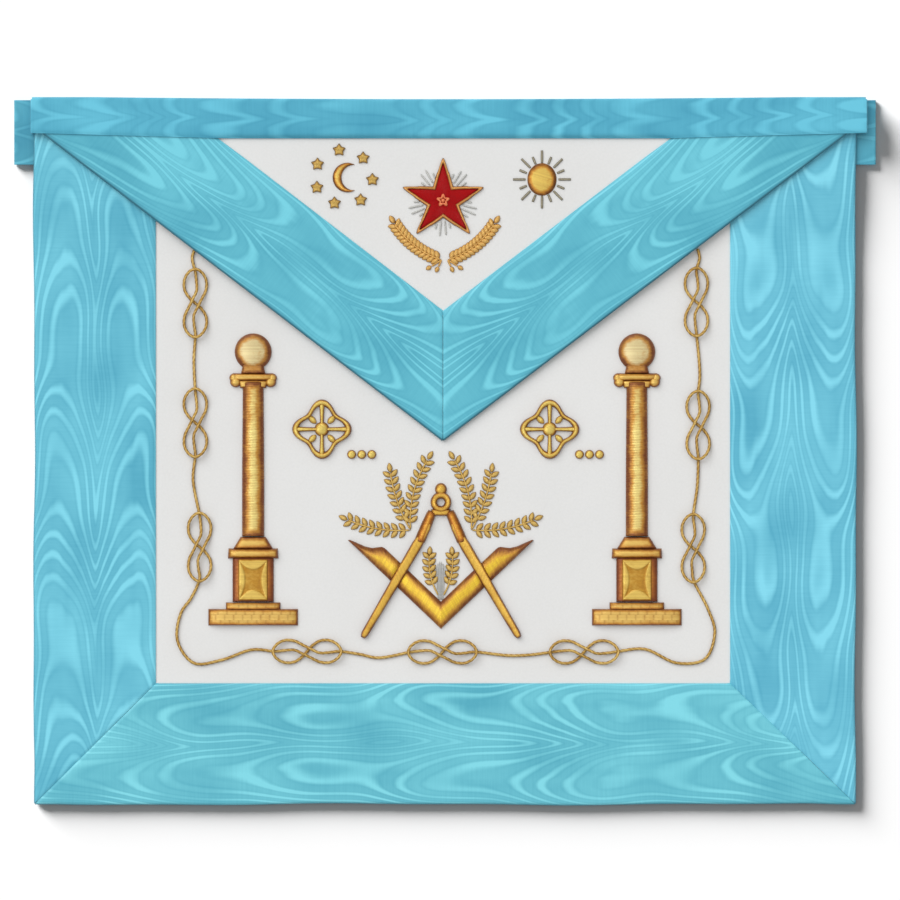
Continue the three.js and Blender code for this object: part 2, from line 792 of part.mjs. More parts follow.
function makeSquare() {
  const arms = cushion(squareOutline(), SQUARE_RELIEF, SQUARE_RELIEF / 4);
  const slot = (side) => prism(armOutline(side, PIECE_GAP), SQUARE_RELIEF, lapLevel);
  return subtract(subtract(arms, slot(-1)), slot(1));
}

function makeCompassLeg(side) {
  const edge = COMPASS_RELIEF / 5;
  const leg = fuse([
    cushion(armOutline(side, 0), COMPASS_RELIEF, edge),
    cushion(thighOutline(side, 0), 1.1 * COMPASS_RELIEF, 2 * edge, 2),
  ]);
  const bed = prism(squareOutline(PIECE_GAP), 2 * lapLevel, PIECE_GAP - lapLevel);
  return subtract(leg, bed);
}

function makeCompassHead() {
  const disc = new THREE.Shape();
  disc.absarc(0, compassHead, headRadius, 0, 2 * Math.PI);
  const eye = new THREE.Path();
  eye.absarc(0, compassHead, COMPASS_EYE_DIAMETER / 2, 0, 2 * Math.PI);
  disc.holes.push(eye);
  const knobY = compassHead + headRadius + 0.3 * COMPASS_KNOB_DIAMETER;
  const head = fuse([
    cushion(disc, COMPASS_RELIEF, COMPASS_RELIEF / 5),
    dome(COMPASS_KNOB_DIAMETER, COMPASS_KNOB_DIAMETER, COMPASS_RELIEF, 0, knobY),
  ]);
  return [-1, 1].reduce((solid, side) => {
    const relief = 4 * COMPASS_RELIEF;
    const clear = [armOutline(side, PIECE_GAP), thighOutline(side, PIECE_GAP)];
    return subtract(solid, fuse(clear.map((outline) => prism(outline, relief, -relief / 2))));
  }, head);
}

addGold('square', makeSquare(), emblem);
addGold('compasses_leg_left', makeCompassLeg(-1), emblem);
addGold('compasses_leg_right', makeCompassLeg(1), emblem);
addGold('compasses_head', makeCompassHead(), emblem);

// Leafy branches: each twig is a bowed stem with pairs of leaves and one at its end.

function leafAt(x, y, angle, length = LEAF_LENGTH, width = LEAF_WIDTH) {
  const leaf = new THREE.OctahedronGeometry(1).scale(length / 2, width / 2, LEAF_RELIEF / 2);
  leaf.translate(0.42 * length, 0, LEAF_RELIEF / 2);
  return leaf.rotateZ(angle).translate(x, y, 0);
}

function twigPieces({ x, y, endX, endY, bow, pairs, first }, leafScale = 1) {
  const start = new THREE.Vector3(x, y, LEAF_RELIEF / 2);
  const end = new THREE.Vector3(endX, endY, LEAF_RELIEF / 2);
  const run = end.clone().sub(start);
  const sideways = new THREE.Vector3(-run.y, run.x, 0);
  const middle = start.clone().lerp(end, 0.5).addScaledVector(sideways, bow);
  const extrudePath = new THREE.QuadraticBezierCurve3(start, middle, end);
  const half = STEM_WIDTH / 2;
  const section = polygon([[-half, -half], [half, -half], [half, half], [-half, half]]);
  const pieces = [new THREE.ExtrudeGeometry(section, { steps: 5, extrudePath })];
  const leafAngle = Math.PI / 3.6;
  const leafLength = LEAF_LENGTH * leafScale;
  const leafWidth = LEAF_WIDTH * leafScale;
  for (let pair = 0; pair < pairs; pair += 1) {
    const share = THREE.MathUtils.lerp(first, 0.9, pair / (pairs - 1));
    const point = extrudePath.getPoint(share);
    const tangent = extrudePath.getTangent(share);
    const heading = Math.atan2(tangent.y, tangent.x);
    pieces.push(leafAt(point.x, point.y, heading + leafAngle, leafLength, leafWidth));
    pieces.push(leafAt(point.x, point.y, heading - leafAngle, leafLength, leafWidth));
  }
  const tangent = extrudePath.getTangent(1);
  pieces.push(leafAt(endX, endY, Math.atan2(tangent.y, tangent.x), leafLength, leafWidth));
  return pieces;
}

// Three twigs fan out from one base on each side of the compasses. The right side is
// tabled, as shares of the branches' half span, with heights from the compasses' head.
const BRANCH_TWIGS = [
  { endX: 1.0, endY: -0.187, bow: -0.13, pairs: 6, first: 0.2 },
  { endX: 0.541, endY: 0.319, bow: -0.1, pairs: 5, first: 0.42 },
  { endX: 0.141, endY: 0.459, bow: -0.16, pairs: 7, first: 0.28 },
];

function branchTwig({ endX, endY, ...rest }) {
  return {
    x: 0.365 * BRANCH_HALF_SPAN,
    y: compassHead - BRANCH_DROP,
    endX: endX * BRANCH_HALF_SPAN,
    endY: compassHead + endY * BRANCH_HALF_SPAN,
    ...rest,
  };
}

// The small branch stands inside the square: two twigs from one stem.
const innerStemY = squareFoot + 1.7 * SQUARE_ARM_WIDTH;
const INNER_TWIG = {
  x: STEM_WIDTH,
  y: innerStemY,
  endX: STEM_WIDTH + 0.22 * INNER_BRANCH_LENGTH,
  endY: innerStemY + INNER_BRANCH_LENGTH,
  bow: -0.16,
  pairs: 4,
  first: 0.35,
};

function mirrorTwig(twig) {
  return { ...twig, x: -twig.x, endX: -twig.endX, bow: -twig.bow };
}

function makeBranch(side) {
  const right = BRANCH_TWIGS.map(branchTwig);
  const twigs = side < 0 ? right.map(mirrorTwig) : right;
  return fuse(twigs.flatMap((twig) => twigPieces(twig)));
}

function makeInnerBranch() {
  const twigs = [INNER_TWIG, mirrorTwig(INNER_TWIG)];
  const stem = block(3 * STEM_WIDTH, 2 * STEM_WIDTH, LEAF_RELIEF, 0, innerStemY, 0);
  return fuse([stem, ...twigs.flatMap((twig) => twigPieces(twig, 0.85))]);
}

addGold('branch_left', makeBranch(-1), emblem);
addGold('branch_right', makeBranch(1), emblem);
addGold('branch_inner', makeInnerBranch(), emblem);

// Ornaments: a quatrefoil of padded cord crossed in its middle, and a row of beads.

function lobedOutline(radius, lobes, depth) {
  const points = [];
  const count = 7 * lobes;
  for (let step = 0; step < count; step += 1) {
    const angle = Math.PI / 2 + (2 * Math.PI * step) / count;
    const swell = Math.cos((2 * Math.PI * lobes * step) / count);
    const reach = radius * (1 - depth + depth * swell);
    points.push(new THREE.Vector2(reach * Math.cos(angle), reach * Math.sin(angle)));
  }
  return points;
}

function makeOrnament() {
  const radius = ORNAMENT_WIDTH / 2;
  const cord = new THREE.Shape(lobedOutline(radius, 4, 0.14));
  cord.holes.push(new THREE.Path(lobedOutline(radius - ORNAMENT_CORD, 4, 0.14)));
  const edge = ORNAMENT_RELIEF / 4;
  const reach = radius - ORNAMENT_CORD / 2;
  const bar = (angle) => (
    cushion(slab(0.7 * ORNAMENT_CORD, -reach, reach), 0.8 * ORNAMENT_RELIEF, edge).rotateZ(angle)
  );
  return fuse([
    cushion(cord, ORNAMENT_RELIEF, edge),
    bar(0),
    bar(Math.PI / 2),
    dome(2.2 * ORNAMENT_CORD, 2.2 * ORNAMENT_CORD, 1.2 * ORNAMENT_RELIEF),
  ]);
}

function makeBeads() {
  const pieces = [-1, 0, 1].map((place) => (
    dome(BEAD_DIAMETER, BEAD_DIAMETER, BEAD_DIAMETER / 2, place * BEAD_PITCH, 0, 8)
  ));
  pieces.push(block(2 * BEAD_PITCH, STEM_WIDTH, STEM_WIDTH, 0, 0, 0));
  return fuse(pieces);
}

function addOrnament(suffix, x) {
  const place = new THREE.Group();
  place.position.set(x, openingFoot + ORNAMENT_RAISE, stitchLevel);
  addGold(`ornament_${suffix}`, makeOrnament(), place);
  const beads = addGold(`beads_${suffix}`, makeBeads(), place);
  const drop = ORNAMENT_WIDTH / 2 - BEAD_DIAMETER / 2;
  beads.position.set(ORNAMENT_WIDTH / 2 + BEAD_PITCH, -drop, 0);
  apron.add(place);
}

addOrnament('left', ORNAMENT_LEFT_X);
addOrnament('right', ORNAMENT_RIGHT_X);

// Embroidery of the flap lies in the flap's own inclined plane.

const flapFace = new THREE.Group();
flapFace.position.set(0, flapHinge, flapHingeLevel + flapTop + PIECE_GAP);
flapFace.rotation.x = Math.atan(flapSlope);
apron.add(flapFace);

function placeOnFlap(x, drop) {
  const group = new THREE.Group();
  group.position.set(x, WAISTBAND_WIDTH - drop, 0);
  flapFace.add(group);
  return group;
}

function starPoints(radius, notch) {
  const points = [];
  for (let step = 0; step < 10; step += 1) {
    const angle = Math.PI / 2 + (Math.PI * step) / 5;
    const reach = step % 2 === 0 ? radius : radius * notch;
    points.push(new THREE.Vector2(reach * Math.cos(angle), reach * Math.sin(angle)));
  }
  return points;
}

// How far the star's radius grows for each millimetre that its edge moves out.
function starGrowth(notch) {
  const [point, inner] = starPoints(1, notch);
  const edge = inner.clone().sub(point);
  return edge.length() / Math.abs(point.x * inner.y - point.y * inner.x);
}

const star = placeOnFlap(STAR_X, STAR_DROP);
const starRadius = STAR_DIAMETER / 2;
const rimRadius = starRadius - STAR_RIM * starGrowth(STAR_NOTCH);
const fieldRadius = rimRadius - PIECE_GAP * starGrowth(STAR_NOTCH);

function makeStarField() {
  const field = prism(new THREE.Shape(starPoints(fieldRadius, STAR_NOTCH)), 0.6 * STAR_RELIEF);
  const seat = new THREE.CylinderGeometry(1, 1, STAR_RELIEF, 16).rotateX(Math.PI / 2);
  const seatRadius = ROSETTE_DIAMETER / 2 + PIECE_GAP;
  seat.scale(seatRadius, seatRadius, 1).translate(0, 0, 0.8 * STAR_RELIEF);
  return subtract(field, seat);
}

function makeStarRim() {
  const shape = new THREE.Shape(starPoints(starRadius, STAR_NOTCH));
  shape.holes.push(new THREE.Path(starPoints(rimRadius, STAR_NOTCH)));
  return prism(shape, STAR_RELIEF);
}

function makeRosette() {
  const petals = new THREE.Shape(lobedOutline(ROSETTE_DIAMETER / 2, 5, 0.2));
  const level = 0.3 * STAR_RELIEF + PIECE_GAP;
  return cushion(petals, STAR_RELIEF, STAR_RELIEF / 4).translate(0, 0, level);
}

addPiece('star_field', makeStarField(), RED, star, 0.7, 0);
addGold('star_rim', makeStarRim(), star);
addGold('star_rosette', makeRosette(), star);

// Moon with seven small stars round it, in shares of their spread.

const SMALL_STARS = [
  { x: -0.27, y: 0.89 },
  { x: 0.51, y: 0.63 },
  { x: 0.81, y: -0.07 },
  { x: 0.43, y: -0.73 },
  { x: -0.42, y: -0.83 },
  { x: -0.99, y: -0.32 },
  { x: -0.97, y: 0.43 },
];

function makeMoon() {
  const radius = MOON_DIAMETER / 2;
  const hollow = 0.86 * radius;
  const shift = 0.46 * radius;
  const meet = Math.acos((radius ** 2 - hollow ** 2 + shift ** 2) / (2 * radius * shift));
  const hollowMeet = Math.acos((radius ** 2 - hollow ** 2 - shift ** 2) / (2 * hollow * shift));
  const shape = new THREE.Shape();
  shape.absarc(0, 0, radius, meet, 2 * Math.PI - meet, false);
  shape.absarc(shift, 0, hollow, -hollowMeet, hollowMeet, true);
  return prism(shape, STAR_RELIEF);
}

const night = placeOnFlap(MOON_X, MOON_DROP);
addGold('moon', makeMoon(), night);
SMALL_STARS.forEach(({ x, y }, index) => {
  const shape = new THREE.Shape(starPoints(SMALL_STAR_DIAMETER / 2, 0.48));
  const mesh = addGold(`small_star_${index + 1}`, prism(shape, STAR_RELIEF), night, PALE_GOLD);
  mesh.position.set(x * SMALL_STAR_SPREAD, y * SMALL_STAR_SPREAD, 0);
});

// Sun: a domed disc in a ring of long and short rays.

const rayRoot = SUN_DIAMETER / 2 + PIECE_GAP + STEM_WIDTH;

function makeSunRays() {
  const points = [];
  for (let ray = 0; ray < SUN_RAY_COUNT; ray += 1) {
    const angle = (2 * Math.PI * ray) / SUN_RAY_COUNT;
    const reach = ray % 2 === 0 ? SUN_RAY_REACH : 0.83 * SUN_RAY_REACH;
    const spread = STEM_WIDTH / 2 / rayRoot;
    const corners = [[rayRoot, -1.6], [reach, -0.5], [reach, 0.5], [rayRoot, 1.6]];
    for (const [radius, turn] of corners) {
      const heading = angle + turn * spread;
      points.push(new THREE.Vector2(radius * Math.cos(heading), radius * Math.sin(heading)));
    }
  }
  const shape = new THREE.Shape(points);
  const hole = new THREE.Path();
  hole.absarc(0, 0, SUN_DIAMETER / 2 + PIECE_GAP, 0, 2 * Math.PI);
  shape.holes.push(hole);
  return prism(shape, 0.6 * STAR_RELIEF);
}

const day = placeOnFlap(SUN_X, SUN_DROP);
addGold('sun_disc', dome(SUN_DIAMETER, SUN_DIAMETER, 1.4 * STAR_RELIEF), day);
addGold('sun_rays', makeSunRays(), day, PALE_GOLD);

// Wreath: two bowed laurel branches whose feet meet under the star.

const WREATH_TAILS = [
  { turn: -1.12, length: 1.5 },
  { turn: -0.55, length: 2.0 },
];

function makeWreath(side) {
  const footX = side * (PIECE_GAP + LEAF_WIDTH / 2);
  const twig = {
    x: footX,
    y: 0,
    endX: side * (WREATH_HALF_SPAN - LEAF_LENGTH / 2),
    endY: WREATH_HEIGHT - LEAF_LENGTH / 2,
    bow: side * -0.13,
    pairs: WREATH_PAIRS,
    first: 0.12,
  };
  const tails = WREATH_TAILS.map(({ turn, length }) => {
    const angle = side > 0 ? turn : Math.PI - turn;
    return leafAt(footX, 0, angle, length * LEAF_LENGTH, 0.7 * LEAF_WIDTH);
  });
  return fuse([...twigPieces(twig, 0.9), ...tails]);
}

const wreath = placeOnFlap(WREATH_X, WREATH_DROP);
addGold('wreath_left', makeWreath(-1), wreath);
addGold('wreath_right', makeWreath(1), wreath);

export default apron;
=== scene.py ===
"""Looks of a ceremonial apron: white leather, watered silk ribbons and padded gold embroidery.

Lengths in this file are millimetres until a mesh is made, and the frame is in metres.
A surface is a grid: rows and columns of points, with a face between four neighbours.
"""

import math
from functools import partial

import bmesh
import bpy
import numpy as np
from bpy.props import FloatProperty, FloatVectorProperty, IntProperty, PointerProperty
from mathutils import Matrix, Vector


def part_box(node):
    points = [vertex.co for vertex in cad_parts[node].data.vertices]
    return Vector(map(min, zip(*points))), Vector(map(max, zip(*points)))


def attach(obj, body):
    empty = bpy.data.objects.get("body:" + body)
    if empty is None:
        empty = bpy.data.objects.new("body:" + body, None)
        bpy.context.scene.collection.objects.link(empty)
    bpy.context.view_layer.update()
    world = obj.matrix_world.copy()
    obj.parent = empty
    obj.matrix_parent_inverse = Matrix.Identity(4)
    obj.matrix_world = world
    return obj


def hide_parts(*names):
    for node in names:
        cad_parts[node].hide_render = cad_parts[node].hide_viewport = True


bl_info = {
    "name": "Ceremonial Apron",
    "version": (1, 0, 0),
    "blender": (4, 5, 0),
    "location": "3D View > Sidebar > Apron",
    "description": "Builds the silk, leather and gold thread of a ceremonial apron",
    "category": "Add Mesh",
}

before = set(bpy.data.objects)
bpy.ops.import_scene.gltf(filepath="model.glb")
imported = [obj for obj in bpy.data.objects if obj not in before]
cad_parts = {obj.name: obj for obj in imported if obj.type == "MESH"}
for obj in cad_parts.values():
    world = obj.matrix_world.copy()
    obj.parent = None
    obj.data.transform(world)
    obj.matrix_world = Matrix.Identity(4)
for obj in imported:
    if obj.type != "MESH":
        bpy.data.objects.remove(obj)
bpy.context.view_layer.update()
MM = 0.001


def node_corners(node):
    """The lowest and the highest corner of a CAD node, in millimetres."""
    low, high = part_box(node)
    return np.array(low) / MM, np.array(high) / MM


# Sizes that the frame gives

PANEL_LOW, PANEL_HIGH = node_corners("panel")
RIGHT_LOW, RIGHT_HIGH = node_corners("border_right")
BOTTOM_LOW, BOTTOM_HIGH = node_corners("border_bottom")
BAND_LOW, BAND_HIGH = node_corners("waistband")
BELT_LOW, BELT_HIGH = node_corners("belt")
CLASP_LOW, CLASP_HIGH = node_corners("belt_clasp")
FLAP_LOW = node_corners("flap_border_left")[0]

HALF_WIDTH = RIGHT_HIGH[0]
FOOT = BOTTOM_LOW[1]
TOP = BAND_HIGH[1]
SHEET_TOP = PANEL_HIGH[1]
OPENING_LEFT = node_corners("border_left")[1][0]
OPENING_RIGHT = RIGHT_LOW[0]
OPENING_FOOT = BOTTOM_HIGH[1]
OPENING_HALF = (OPENING_RIGHT - OPENING_LEFT) / 2
OPENING_HEIGHT = SHEET_TOP - OPENING_FOOT
RIBBON = CLASP_HIGH[2] - CLASP_LOW[2]
GAP = PANEL_LOW[2] - RIBBON
LEATHER_TOP = BOTTOM_HIGH[2] - RIBBON - GAP
BELT_RISE = BELT_HIGH[2] + GAP - PANEL_LOW[2]
FLAP_HALF = -FLAP_LOW[0]
FLAP_TIP = np.array([-1.0, FLAP_LOW[1]])

# Sizes of the sheets

RISE_END = BELT_LOW[1] - 2 * RIBBON
RISE_LENGTH = 46
HEM_WIDTH = 25
BORDER_FACE = 62
PANEL_LEATHER = 1.3
FLAP_LEATHER = 1.2
FLAP_CORNER = TOP - 17.6
FLAP_HINGE = TOP - 20
FLAP_SLOPE = 0.0211
FLAP_UNDER = LEATHER_TOP + GAP
FLAP_RIBBON_WIDTH = 50.2
SAG_DEPTH = 1.0
SAG_HALF = 170
SEAM_GAP = 0.15
BEND_POINTS = 12
HEM_POINTS = 10
STITCH_GAP = 0.05
STITCH_LEVEL = LEATHER_TOP + STITCH_GAP


def smooth_step(share):
    """Zero below 0, one above 1, and three squares less two cubes of the share between."""
    share = np.clip(share, 0, 1)
    return share * share * (3 - 2 * share)


def rise_at(y):
    """How far the sheets stand up where they pass over the belt: a smooth step along Y."""
    return BELT_RISE * smooth_step((y - RISE_END) / RISE_LENGTH + 1)


def flap_under(y):
    """The underside of the flap: a straight slope from its tip to its hinge, then level."""
    return FLAP_UNDER + FLAP_SLOPE * (np.minimum(y, FLAP_HINGE) - FLAP_TIP[1])


def with_sag(x, y):
    """Places along Y of sheets at the top edge, which hangs down a little in its middle."""
    sag = SAG_DEPTH * np.clip(1 - (x / SAG_HALF) ** 2, 0, 1)
    return y - sag * smooth_step((y - FLAP_HINGE + 12) / 20)


def ripple(x, y, length, seed=0.0):
    """Soft unevenness from -1 to 1: the mean of four sine waves in different directions."""
    total = 0
    for turn, stretch in ((0.3, 1.0), (1.4, 1.37), (2.2, 0.73), (2.9, 1.81)):
        phase = (x * math.cos(turn + seed) + y * math.sin(turn + seed)) * stretch / length
        total = total + np.sin(2 * math.pi * phase + 5 * turn + seed)
    return total / 4


# Meshes from grids


def joined(*parts):
    """Arrays and numbers of one shape, or that repeat to it, joined along a last axis."""
    return np.stack(np.broadcast_arrays(*parts), -1)


def grid(points, across, along, rim=None):
    """A grid as its points, its texture places in millimetres, and its rim from 0 to 1, the share of
    painted shade.
    """
    points = np.asarray(points, float)
    shape = points.shape[:-1]
    texture = joined(np.broadcast_to(across, shape), np.broadcast_to(along, shape))
    rim = np.zeros(shape) if rim is None else np.broadcast_to(rim, shape)
    return points, texture, rim


def flipped(surface):
    """The same grid with its columns in the other order, so that it faces the other way."""
    points, texture, rim = surface
    return points[..., ::-1, :], texture[..., ::-1, :], rim[..., ::-1]


def mesh_from_grids(name, grids, closed):
    """One mesh from many grids. Points that meet at a seam or a pole become one point."""
    points, loops, textures, rims = [], [], [], []
    start = 0
    for place, texture, rim in grids:
        rows, columns = place.shape[-3:-1]
        number = np.arange(rows * columns).reshape(rows, columns)
        corners = [number[:-1, :-1], number[:-1, 1:], number[1:, 1:], number[1:, :-1]]
        cells = np.stack(corners, -1).reshape(-1, 4)
        copies = place.size // (3 * rows * columns)
        offsets = start + np.arange(copies) * rows * columns
        loops.append((cells[None] + offsets[:, None, None]).reshape(-1, 4))
        points.append(place.reshape(-1, 3))
        textures.append(texture.reshape(-1, 2))
        rims.append(rim.reshape(-1))
        start += copies * rows * columns
    points = np.concatenate(points) * MM
    loops = np.concatenate(loops)
    mesh = bpy.data.meshes.new(name)
    mesh.vertices.add(len(points))
    mesh.vertices.foreach_set("co", points.astype(np.float32).ravel())
    mesh.loops.add(loops.size)
    mesh.loops.foreach_set("vertex_index", loops.ravel().astype(np.int32))
    mesh.polygons.add(len(loops))
    mesh.polygons.foreach_set("loop_start", np.arange(0, loops.size, 4, dtype=np.int32))
    mesh.update(calc_edges=True)
    texture = np.concatenate(textures)[loops.ravel()]
    mesh.uv_layers.new(name="weave").data.foreach_set("uv", texture.astype(np.float32).ravel())
    # The rim attribute carries painted shade: at the rim of a pad, and where a ribbon turns under.
    rim = mesh.attributes.new("rim", "FLOAT", "POINT")
    rim.data.foreach_set("value", np.concatenate(rims).astype(np.float32))
    editable = bmesh.new()
    editable.from_mesh(mesh)
    bmesh.ops.remove_doubles(editable, verts=editable.verts, dist=1e-6)
    if closed:
        bmesh.ops.recalc_face_normals(editable, faces=editable.faces)
    editable.to_mesh(mesh)
    editable.free()
    mesh.polygons.foreach_set("use_smooth", np.ones(len(mesh.polygons), bool))
    mesh.update()
    return mesh


def add_piece(name, grids, material, nodes, thickness=0.0):
    """A new piece that rides on the apron and stands for CAD nodes. A sheet gets a thickness."""
    mesh = mesh_from_grids(name, grids, closed=not thickness)
    mesh.materials.append(material)
    piece = bpy.data.objects.new(name, mesh)
    bpy.context.scene.collection.objects.link(piece)
    if thickness:
        wall = piece.modifiers.new("thickness", "SOLIDIFY")
        wall.thickness = thickness * MM
        wall.offset = 0
        wall.use_even_offset = True
    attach(piece, "root")
    if nodes:
        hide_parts(*nodes)
    return piece


def add_pad(name, grids, thread, node):
    """A new piece of padded embroidery that stands for one CAD node."""
    add_piece(name, grids, thread_material(thread), [node])


def facing(surface, way):
    """The grid turned over if most of it faces against a direction."""
    points = surface[0]
    across = points[..., :-1, 1:, :] - points[..., :-1, :-1, :]
    along = points[..., 1:, :-1, :] - points[..., :-1, :-1, :]
    share = (np.cross(across, along) @ np.array(way, float)).sum()
    return surface if share > 0 else flipped(surface)


def face_up(surface):
    return facing(surface, (0, 0, 1))


# Shares of a length and places along a line


def shares(count):
    """Numbers from 0 to 1, spaced as a cosine, so that they are closer at both ends."""
    return 0.5 - 0.5 * np.cos(math.pi * np.linspace(0, 1, count))


def edge_shares(length, edge, pitch):
    """Shares of a length: eight close steps over the edge at each end and a pitch between."""
    near = np.linspace(0, edge, 9)
    middle = np.linspace(edge, length - edge, max(2, int((length - 2 * edge) / pitch)) + 1)
    return np.concatenate([near[:-1], middle, length - near[::-1][1:]]) / length


def running_length(points):
    """The length run along a line of points, from its first point."""
    steps = np.linalg.norm(np.diff(points, axis=0), axis=-1)
    return np.concatenate([[0], np.cumsum(steps)])


def full_turn(count):
    """Angles of a whole turn in a number of steps."""
    return np.linspace(0, 2 * math.pi, count + 1)


def polar(radius, turn):
    """The point at a radius and an angle from the X axis."""
    return joined(radius * np.cos(turn), radius * np.sin(turn))


# Padded embroidery


def rim_shade_from(inside, band):
    """The share of painted rim shade: one over the outer quarter of a band, and nothing inside the
    band.
    """
    return np.clip((1 - inside / band) / 0.75, 0, 1)


def cushion(plan, over, base, across, along, rim):
    """A closed pad over a plan: its upper face, and a level face under it at its base."""
    x, y = plan[..., 0], plan[..., 1]
    return [
        face_up(grid(joined(x, y, over), across, along, rim)),
        flipped(face_up(grid(joined(x, y, base), across, along, rim))),
    ]


def pad(first, second, base, height, roundness=2.0, columns=12, band=1.0, ends=1.0, loop=False):
    """A padded strip between two edges, closed below.

    Across, its height is the root of one less the power of the place from -1 to 1. Along,
    it rises over a quarter circle of the given radius at each end, unless it is a loop.
    """
    share = shares(columns + 1)
    place = 2 * share - 1
    crown = np.sqrt(np.clip(1 - np.abs(place) ** roundness, 0, 1))
    along = running_length((first + second) / 2)
    from_end = np.minimum(along, along[-1] - along)
    if loop:
        swell = np.ones(len(along))
        from_end = np.full(len(along), 1e3)
    else:
        swell = np.sqrt(np.clip(1 - (1 - np.clip(from_end / ends, 0, 1)) ** 2, 0, 1))
    plan = first[:, None] * (1 - share)[:, None] + second[:, None] * share[:, None]
    base = np.broadcast_to(base, along.shape)[:, None]
    height = np.broadcast_to(height, along.shape)[:, None]
    width = np.linalg.norm(second - first, axis=-1)[:, None]
    inside = np.minimum(np.minimum(share, 1 - share) * width, from_end[:, None])
    over = base + height * swell[:, None] * crown
    return cushion(plan, over, base, place * width / 2, along[:, None], rim_shade_from(inside, band))


def upright_sides(y, half):
    """The left and the right side of an upright strip, at places up and half widths."""
    return joined(-half, y), joined(half, y)


def slab(low, high, low_width, high_width, height, band, soft):
    """A padded block with an upright axis, whose two sides are straight lines."""
    share = edge_shares(high - low, min(soft, (high - low) / 3), 1.2)
    y = low + (high - low) * share
    half = (low_width + (high_width - low_width) * share) / 2
    return pad(*upright_sides(y, half), 0, height, roundness=9, columns=18, band=band, ends=soft)


def dome(x, y, radius_x, radius_y, height, band, rings=8, sides=28, base=0):
    """A closed dome: its height is the root of one less the square of the share of radius."""
    share = np.sin(np.linspace(0, math.pi / 2, rings + 1))[:, None]
    turn = full_turn(sides)[None, :]
    px = x + radius_x * share * np.cos(turn)
    py = y + radius_y * share * np.sin(turn)
    pz = base + height * np.sqrt(np.clip(1 - share**2, 0, 1))
    rim = rim_shade_from((1 - share) * min(radius_x, radius_y), band)
    return cushion(joined(px, py), pz, base, px - x, py - y, rim)


def moved(grids, shift=(0, 0, 0), scale_x=1.0):
    """Copies of grids with X scaled and then moved by a shift."""
    scale = np.array([scale_x, 1, 1])
    return [(points * scale + np.array(shift), texture, rim) for points, texture, rim in grids]


def on_flap(grids, x, drop):
    """Grids drawn about a motif's own middle, laid on the flap's sloping face."""
    laid = []
    for points, texture, rim in grids:
        points = points + np.array([x, TOP - drop, 0])
        points[..., 2] += flap_under(points[..., 1]) + FLAP_LEATHER + STITCH_GAP
        laid.append((points, texture, rim))
    return laid


def leaves(places, length, width, height):
    """Many leaves at once. Each place is x, y and a heading, and its foot is at the place.

    A leaf's half width is a sine of its length to a power, and its height is domed.
    """
    places = np.asarray(places, float)[:, :, None, None]
    share = shares(8)[:, None]
    side = np.linspace(-1, 1, 7)[None, :]
    forward = length * share + 0 * side
    sideways = width / 2 * np.sin(math.pi * share**0.9) ** 0.75 * side
    crown = np.sqrt(np.clip(1 - side**2, 0, 1)) * np.sin(math.pi * share**0.9) ** 0.6
    # Painted shade at the sides, the tip and the foot of each leaf.
    rim = np.clip(np.maximum(np.abs(side) ** 2, np.abs(2 * share - 1) ** 4), 0, 1)
    cos, sin = np.cos(places[:, 2]), np.sin(places[:, 2])
    x = places[:, 0] + cos * forward - sin * sideways
    y = places[:, 1] + sin * forward + cos * sideways
    top = grid(joined(x, y, height * crown), sideways, forward, rim)
    return [top, flipped(grid(joined(x, y, 0), sideways, forward, rim))]


def tube(line, radius, sides=8, lobes=0, twist=0.0, depth=0.0):
    """A round cord along a line of points in space, closed to a pole at both ends.

    Its radius grows and shrinks with the angle in a number of lobes, which turn along it.
    """
    along = running_length(line)
    ahead = np.gradient(line, axis=0)
    ahead /= np.linalg.norm(ahead, axis=-1, keepdims=True)
    side = np.cross(ahead, [0, 0, 1.0])
    side /= np.linalg.norm(side, axis=-1, keepdims=True)
    up = np.cross(side, ahead)
    angle = full_turn(sides)[None, :]
    groove = np.abs(np.sin(0.5 * lobes * angle + math.pi * along[:, None] * twist)) if lobes else 1
    from_end = np.minimum(along, along[-1] - along)
    end = np.clip(from_end / radius, 0, 1)[:, None]
    reach = radius * (1 - depth * (1 - groove) ** 2) * np.sqrt(1 - (1 - end) ** 2) + 0 * angle
    points = (
        line[:, None]
        + side[:, None] * (reach * np.cos(angle))[..., None]
        + up[:, None] * (reach * np.sin(angle))[..., None]
    )
    # Painted shade on the cord's sides and in the grooves between its strands.
    rim = 0.6 * np.cos(angle) ** 2 + 0.6 * (1 - groove)
    return [grid(points, angle * radius, along[:, None], rim)]


def smooth_line(points, steps):
    """A smooth line through points: cubic spans whose ease is the root of each chord."""
    before = 2 * points[:1] - points[1:2]
    after = 2 * points[-1:] - points[-2:-1]
    whole = np.concatenate([before, points, after])
    p0, p1, p2, p3 = whole[:-3], whole[1:-2], whole[2:-1], whole[3:]
    t0, t1, t2 = (
        np.sqrt(np.linalg.norm(b - a, axis=-1, keepdims=True)) + 1e-9
        for a, b in ((p0, p1), (p1, p2), (p2, p3))
    )
    out = ((p1 - p0) / t0 - (p2 - p0) / (t0 + t1) + (p2 - p1) / t1) * t1
    into = ((p2 - p1) / t1 - (p3 - p1) / (t1 + t2) + (p3 - p2) / t2) * t1
    share = (np.arange(steps) / steps)[None, :, None]
    p1, p2, out, into = (part[:, None] for part in (p1, p2, out, into))
    line = (
        p1
        + out * share
        + (3 * (p2 - p1) - 2 * out - into) * share**2
        + (2 * (p1 - p2) + out + into) * share**3
    )
    return np.concatenate([line.reshape(-1, points.shape[1]), points[-1:]])


def even_line(line, pitch):
    """The same line with its points a pitch apart."""
    along = running_length(line)
    places = np.linspace(0, along[-1], int(along[-1] / pitch) + 1)
    return joined(*(np.interp(places, along, line[:, axis]) for axis in range(3)))


# Shader helpers


def socket_value(tree, socket, value):
    """Links a socket to another one, or sets its own number or colour."""
    if isinstance(value, bpy.types.NodeSocket):
        tree.links.new(value, socket)
    else:
        socket.default_value = value


